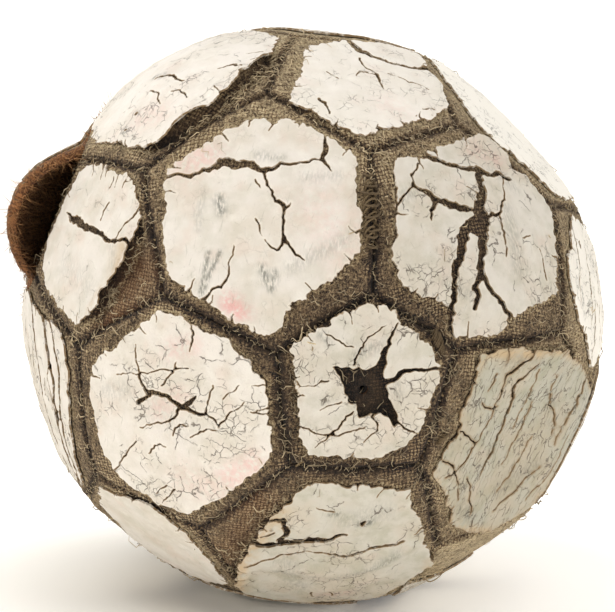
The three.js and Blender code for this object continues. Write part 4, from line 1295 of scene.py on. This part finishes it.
class Shader:
    """A material's node tree, built from the sockets back to the surface."""

    def __init__(self, name):
        self.material = bpy.data.materials.new(name)
        self.material.use_nodes = True
        self.tree = self.material.node_tree
        self.tree.nodes.clear()
        coordinates = self.add("ShaderNodeTexCoord", {}, {}, "Object")
        self.place = self.scaled(coordinates, METRE)

    def add(self, kind, settings, sockets, output=0):
        """A node with its settings made first, then its sockets set or linked; gives one of its outputs."""
        node = self.tree.nodes.new(kind)
        for key, value in settings.items():
            if key == "stops":
                ramp = node.color_ramp.elements
                for _ in value[2:]:
                    ramp.new(0.5)
                for element, (position, paint) in zip(ramp, value):
                    element.position, element.color = position, paint
            else:
                setattr(node, key, value)
        for key, value in sockets.items():
            if isinstance(value, Value):
                self.tree.links.new(value.socket, node.inputs[key])
            else:
                node.inputs[key].default_value = value
        return Value(self, node.outputs[output]) if node.outputs else node

    def vectors(self, operation, first, second, output=0):
        """A Vector Math node on two vectors."""
        return self.add("ShaderNodeVectorMath", {"operation": operation}, {0: first, 1: second}, output)

    def scaled(self, vector, scale):
        """The vector times one number."""
        return self.add("ShaderNodeVectorMath", {"operation": "SCALE"}, {"Vector": vector, "Scale": scale})

    def warped(self, vector, scale, amount):
        """The vector moved by a noise colour, so that a pattern on it wavers."""
        sockets = {"Vector": self.place, "Scale": scale, "Detail": 2.0}
        paint = self.add("ShaderNodeTexNoise", {}, sockets, "Color")
        centred = self.vectors("SUBTRACT", paint, (0.5, 0.5, 0.5))
        return self.vectors("ADD", vector, self.scaled(centred, amount))

    def noise(self, scale, detail=3.0, vector=None):
        """Cloudy noise from 0 to 1, on the object's place in millimetres unless another vector is given."""
        sockets = {"Vector": vector or self.place, "Scale": scale, "Detail": detail, "Roughness": 0.6}
        return self.add("ShaderNodeTexNoise", {}, sockets)

    def cells(self, vector, scale):
        """The distance to the nearest border between cells, as a share of a cell."""
        sockets = {"Vector": vector, "Scale": scale}
        return self.add("ShaderNodeTexVoronoi", {"feature": "DISTANCE_TO_EDGE"}, sockets)

    def number(self, name):
        """A number that the mesh holds for each point."""
        return self.add("ShaderNodeAttribute", {"attribute_name": name}, {}, "Fac")

    def part(self, vector, which):
        """One of a vector's three parts, counted from 0."""
        return self.add("ShaderNodeSeparateXYZ", {}, {0: vector}, which)

    def map(self, name):
        """The flat place that the mesh holds for each point."""
        return self.add("ShaderNodeUVMap", {"uv_map": name}, {})

    def mix(self, share, one, other):
        """One colour, going over to the other as the share grows."""
        return self.add("ShaderNodeMix", {"data_type": "RGBA"}, {0: share, 6: one, 7: other}, 2)

    def surface(self, paint, height=None, depth=0.0003, **fixed):
        """The surface itself: a colour, an optional bump of that depth in metres, and the shader's own
        settings."""
        sockets = {"Base Color": paint}
        sockets.update({key.replace("_", " ").title(): value for key, value in fixed.items()})
        if height is not None:
            bump = {"Height": height, "Strength": 1.0, "Distance": depth}
            sockets["Normal"] = self.add("ShaderNodeBump", {}, bump)
        shade = self.add("ShaderNodeBsdfPrincipled", {}, sockets)
        self.add("ShaderNodeOutputMaterial", {}, {"Surface": shade})
        return self.material


def cracked_paint():
    """Ivory paint, unevenly yellowed or paler in patches, with green-grey dirt, speckles, smears, faded
    pink dye, tan stains, hairline crazing and a paler worn rim that ends in the torn tan layer under it.
    The panel's grime share greys the paint as dirt and, on the lower panels, as painted shade;
    below zero it whitens the paint as painted light on upper panels."""
    s = Shader("cracked_ivory_paint")
    edge, craze, grime = s.number("edge"), s.number("craze"), s.number("grime")
    smudge, blush = s.number("smudge"), s.number("blush")
    broad, middling, fine = s.noise(0.045, 3), s.noise(0.22, 4), s.noise(1.5, 3)
    patches, flecks = s.noise(0.12, 3), s.noise(0.5, 3)
    paint = s.mix(broad.step(0.38, 0.62), colour("e7dfd6"), colour("dcd3c6"))
    paint = s.mix(middling.step(0.45, 0.75) * 0.6, paint, colour("efe9df"))
    paint = s.mix(s.noise(0.09, 2).step(0.52, 0.72) * 0.22, paint, colour("e6c8bd"))
    paint = s.mix(blush * flecks.step(0.3, 0.6) * 0.75, paint, colour("e79a98"))
    dirt = s.noise(0.13, 5).step(0.42, 0.68) * (0.16 + grime * 0.6)
    # Whitening where the share is below zero: painted light on upper panels.
    paint = s.mix(grime * -4, paint, colour("f7f2e8"))
    # Then greying with the share: green-grey dirt mottling, and painted shade on the lower panels.
    paint = s.mix(dirt, paint, colour("b7b29c"))
    paint = s.mix(grime * 0.72, paint, s.mix(broad.step(0.4, 0.6), colour("96937d"), colour("a2977e")))
    streak = s.noise(1.0, 3, s.vectors("MULTIPLY", s.warped(s.map("crazing"), 0.15, 2.5), (1.1, 0.09, 1)))
    paint = s.mix(streak.step(0.63, 0.72) * (0.22 + 0.16 * grime), paint, colour("8d8a78"))
    specks = fine.step(0.64, 0.72) * patches.step(0.45, 0.62)
    paint = s.mix(specks * (0.3 + 0.4 * grime), paint, colour("6d6a5c"))
    smear_noise = s.noise(0.9, 5, s.vectors("MULTIPLY", s.map("flat"), (1.6, 0.5, 1)))
    smear = smudge * smear_noise.step(0.36, 0.58)
    paint = s.mix(smear * 0.85, paint, colour("55584e"))
    wavering = s.warped(s.map("crazing"), 0.35, 3.2)
    wide, narrow = s.cells(wavering, 0.11), s.cells(wavering, 0.3)
    wide_line = wide.step(0.022, 0.006) * patches.step(0.5, 0.62) * craze.step(0.05, 0.35)
    crazed = (craze - broad.step(0.6, 0.4) * 0.5).step(0.05, 0.3)
    narrow_line = narrow.step(0.045, 0.012) * crazed * middling.step(0.42, 0.56)
    line = wide_line.larger(narrow_line * 0.85)
    paint = s.mix(line * 0.8, paint, colour("4a3c2e"))
    ragged_tan = edge.step(1.0, 0.1) * grime.step(0.6, 1.0) * flecks.step(0.35, 0.6)
    paint = s.mix(s.number("stain") * middling.step(0.3, 0.6) * 0.85, paint, colour("bda27c"))
    paint = s.mix(edge.step(0.9, 0.2) * 0.3 * (1 - grime), paint, colour("f6efe2"))
    paint = s.mix(ragged_tan * 0.75, paint, colour("8f7a5b"))
    paint = s.mix(edge.step(0.34, 0.04) * flecks.step(0.3, 0.55), paint, colour("8f7757"))
    height = middling * 0.35 + fine * 0.3 - line * 0.7
    return s.surface(paint, height, 0.0004, roughness=0.55 + 0.25 * flecks)


def woven_backing():
    """Plain-woven brown cloth under matted torn fibres. The weave: warp over weft and weft over warp in
    turn, each thread rounded, its pitch wavering. The mat: thin curly lines where a warped noise passes
    its middle value. Darker round the valve; darkened as painted shade in the seam creases, in the gaps
    under lifted coat, and under the coat where its cracks and holes show the cloth, which also has dark
    adhesive there. Paler on faded panels and, as painted light, near the top; rusty in patches and on
    the lining."""
    s = Shader("woven_backing_cloth")
    seam, bare, lining, rust = s.number("seam"), s.number("bare"), s.number("lining"), s.number("rust")
    wavering = s.warped(s.map("flat"), 0.4, 1.1)
    across, along = [(s.part(wavering, k) * (np.pi / WEAVE_PITCH)).cosine() for k in (0, 1)]
    over = (across * along * 3).larger(-1).smaller(1)
    thread = (across.size() * (0.58 + 0.42 * over)).larger(along.size() * (0.58 - 0.42 * over))
    winding = s.warped(s.place, 0.7, 1.6)
    curls = [1 - (s.noise(scale, 2, winding) - 0.5).size() * 12 for scale in (0.33, 0.6, 1.1)]
    mat = curls[0].larger(curls[1]).larger(curls[2]).larger(0)
    woven = s.noise(0.07, 2).step(0.51, 0.61).larger(rust)
    rough = (s.noise(1.1, 4) - 0.5) * 1.8 + 0.5
    tone = rough * 0.46 + thread * (0.14 + 0.36 * woven) + mat * (0.46 - 0.3 * woven)
    frayed = bare.step(2.0, 0.3) * bare.step(-0.3, 0.2) * s.noise(0.7, 3).step(0.36, 0.58)
    # Cloth under the coat, seen in its cracks and holes: darkened as painted shade and as dirty adhesive.
    covered = bare.step(0.2, -1.2)
    # Paler where faded and, as painted light, near the top; paler at the frayed edge of the coat.
    light = tone + s.number("pale") * 0.3 + frayed * 0.26
    # Painted shade in the seam creases; also darker round the valve and, as painted shade, in the gaps
    # under lifted coat.
    light = light - s.number("soot") * (0.2 + covered * 0.16) - covered * 0.12 - seam.step(3.1, 0.3) * 0.31
    stops = [(0.08, colour("0b0604")), (0.32, colour("2b1e14")), (0.55, colour("5f4b37")),
             (0.76, colour("a18a68")), (1.0, colour("d8c49e"))]
    paint = s.add("ShaderNodeValToRGB", {"stops": stops}, {"Fac": light})
    paint = s.mix(s.noise(0.12, 3).step(0.45, 0.65) * 0.25, paint, colour("5b4730"))
    paint = s.mix(rust * 0.5, paint, s.mix(tone, colour("3a2213"), colour("84562f")))
    paint = s.mix(lining * 0.9, paint, s.mix(tone.step(0.3, 0.95), colour("46271a"), colour("b0784a")))
    return s.surface(paint, tone + 0.35 * s.noise(2.6, 2), 0.0009, roughness=0.95)


def fibre(name, dark, pale):
    """Dull fibre whose colour runs from dark to pale by its own shade, and a little along its length."""
    s = Shader(name)
    share = s.number("shade") * 0.8 + s.noise(0.5, 3) * 0.35
    paint = s.mix(share, colour(dark), colour(pale))
    return s.surface(paint, s.noise(3.0, 2), 0.00005, roughness=0.9)


def old_rubber():
    """Brown-black rubber, chalky where its bloom has come through in soft patches."""
    s = Shader("perished_rubber")
    bloom = s.noise(0.08, 5).step(0.42, 0.7)
    paint = s.mix(bloom, colour("1f1814"), colour("4a4038"))
    return s.surface(paint, s.noise(0.9, 5) + bloom * 0.3, 0.0004, roughness=0.7 + 0.2 * s.noise(0.3, 3))


def lit_floor():
    """An even pale floor with the faintest warm unevenness, lit up white by itself away from the ball."""
    s = Shader("studio_floor")
    paint = s.mix(s.noise(0.004, 2), colour("f6f2ea"), colour("fbf9f4"))
    away = s.vectors("DISTANCE", s.place, (-50.0, 12.0, 0.0), 1)
    shine = s.mix(away.step(44, 150), (0.0, 0.0, 0.0, 1.0), (1.0, 1.0, 1.0, 1.0))
    s.material.cycles.emission_sampling = "NONE"
    return s.surface(paint, emission_color=shine, emission_strength=0.44, roughness=0.9)


COAT_PAINT, BACKING = cracked_paint(), woven_backing()
FIBRE, NAP = fibre("torn_fibre", "3f2e1f", "d8c39e"), fibre("rusty_nap", "56301c", "cb9763")
TWINE, RUBBER = fibre("waxed_twine", "2e2217", "8b7553"), old_rubber()


# ---- the pieces ----
def keep(piece, slot, *nodes):
    """Fixes a piece to the ball's body and hides the solids it stands for. The finish it is given is not
    used.
    """
    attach(piece, "root")
    if nodes:
        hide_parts(*nodes)
    return piece


for name, panel in PANELS.items():
    node = f"{name}_{panel.kind}"
    keep(cloth_piece(COATS[name], BACKING), "backing_cloth", node)
    keep(coat_piece(COATS[name], COAT_PAINT), "cracked_coat", node)

keep(seam_stitches(TWINE), "sewing_thread", "seam_thread")
keep(slack_bladder(RUBBER), "bladder_rubber", "bladder")
front = [PANELS[name] for name in (*FRONT, "right_foot", "right_shoulder", "left_side")]
others = [panel for panel in PANELS.values() if panel not in front]
keep(fuzz("seam_fibres", front, 300, FIBRE, 11, False), "backing_cloth")
keep(fuzz("edge_fibres", front, 210, FIBRE, 12, True), "backing_cloth")
keep(fuzz("rear_fibres", others, 70, FIBRE, 13, False), "backing_cloth")
keep(flap_nap(NAP), "backing_cloth")
keep(yarn_knots(TWINE), "backing_cloth")
keep(loose_threads(FIBRE), "backing_cloth")

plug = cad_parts["valve_plug"]
plug.data.materials.clear()
plug.data.materials.append(RUBBER)


# ---- floor, light and camera ----
FLOOR_SIDES = 96


def studio_floor(material):
    """A round floor that sweeps up into a low wall: a profile of distance and height, turned about the
    vertical."""
    distance = np.array([0.05, 0.3, 0.6, 1.0, 1.5, 2.0, 2.5, 2.9, 3.2, 3.4, 3.5, 3.5]) * METRE
    rise = np.array([0, 0, 0, 0, 0, 0, 0.05, 0.2, 0.45, 0.8, 1.2, 2.0]) * METRE
    turn = np.linspace(0, 2 * np.pi, FLOOR_SIDES, endpoint=False)
    flat = distance[:, None, None] * np.stack([np.cos(turn), np.sin(turn)], axis=1)
    high = np.broadcast_to(rise[:, None, None], (len(rise), FLOOR_SIDES, 1))
    points = np.vstack([np.concatenate([flat, high], axis=2).reshape(-1, 3), np.zeros((1, 3))])
    sweep = banded_faces(FLOOR_SIDES, len(distance))[:, ::-1]
    first = np.arange(FLOOR_SIDES)
    middle = np.stack([np.full(FLOOR_SIDES, len(points) - 1), first, np.roll(first, -1)], axis=1)
    make_mesh("floor", points, [sweep, middle], material)


def soft_light(name, position, target, size, energy, tint):
    """A square area light turned from its position to its target."""
    light = bpy.data.lights.new(name, "AREA")
    light.size, light.energy, light.color = size, energy, tint
    lamp = bpy.data.objects.new(name, light)
    lamp.location = position
    lamp.rotation_mode = "QUATERNION"
    lamp.rotation_quaternion = (Vector(target) - Vector(position)).to_track_quat("-Z", "Y")
    bpy.context.scene.collection.objects.link(lamp)


def white_surround(strength):
    """Even white light from all round."""
    world = bpy.data.worlds.new("surround")
    world.use_nodes = True
    background = world.node_tree.nodes["Background"]
    background.inputs["Color"].default_value = (1.0, 1.0, 1.0, 1.0)
    background.inputs["Strength"].default_value = strength
    bpy.context.scene.world = world


CAMERA_ELEVATION = 7.0
CAMERA_DISTANCE = 0.770
CAMERA_LENS = 118.8
VIEW_OFFSET = (-0.0017, 0.0042)      # how far the view's middle is to the right of and above the ball's


def long_camera():
    """A long lens looking a little down on the ball, straight along +Y."""
    tilt = np.radians(CAMERA_ELEVATION)
    back, up = np.array([0, -np.cos(tilt), np.sin(tilt)]), np.array([0, np.sin(tilt), np.cos(tilt)])
    right = np.array([1.0, 0, 0])
    data = bpy.data.cameras.new("camera")
    data.lens, data.sensor_width, data.clip_start = CAMERA_LENS, 36.0, 0.05
    camera = bpy.data.objects.new("camera", data)
    at = BALL_CENTRE / METRE + back * CAMERA_DISTANCE + right * VIEW_OFFSET[0] + up * VIEW_OFFSET[1]
    turn = Matrix(np.stack([right, up, back], axis=1).tolist()).to_4x4()
    camera.matrix_world = Matrix.Translation(at.tolist()) @ turn
    bpy.context.scene.collection.objects.link(camera)
    bpy.context.scene.camera = camera


studio_floor(lit_floor())
white_surround(0.54)
soft_light("key", (-0.38, -0.12, 1.2), (-0.02, 0, 0.1), 0.7, 6.0, (1.0, 0.992, 0.98))
long_camera()
bpy.context.scene.view_settings.view_transform = "Standard"
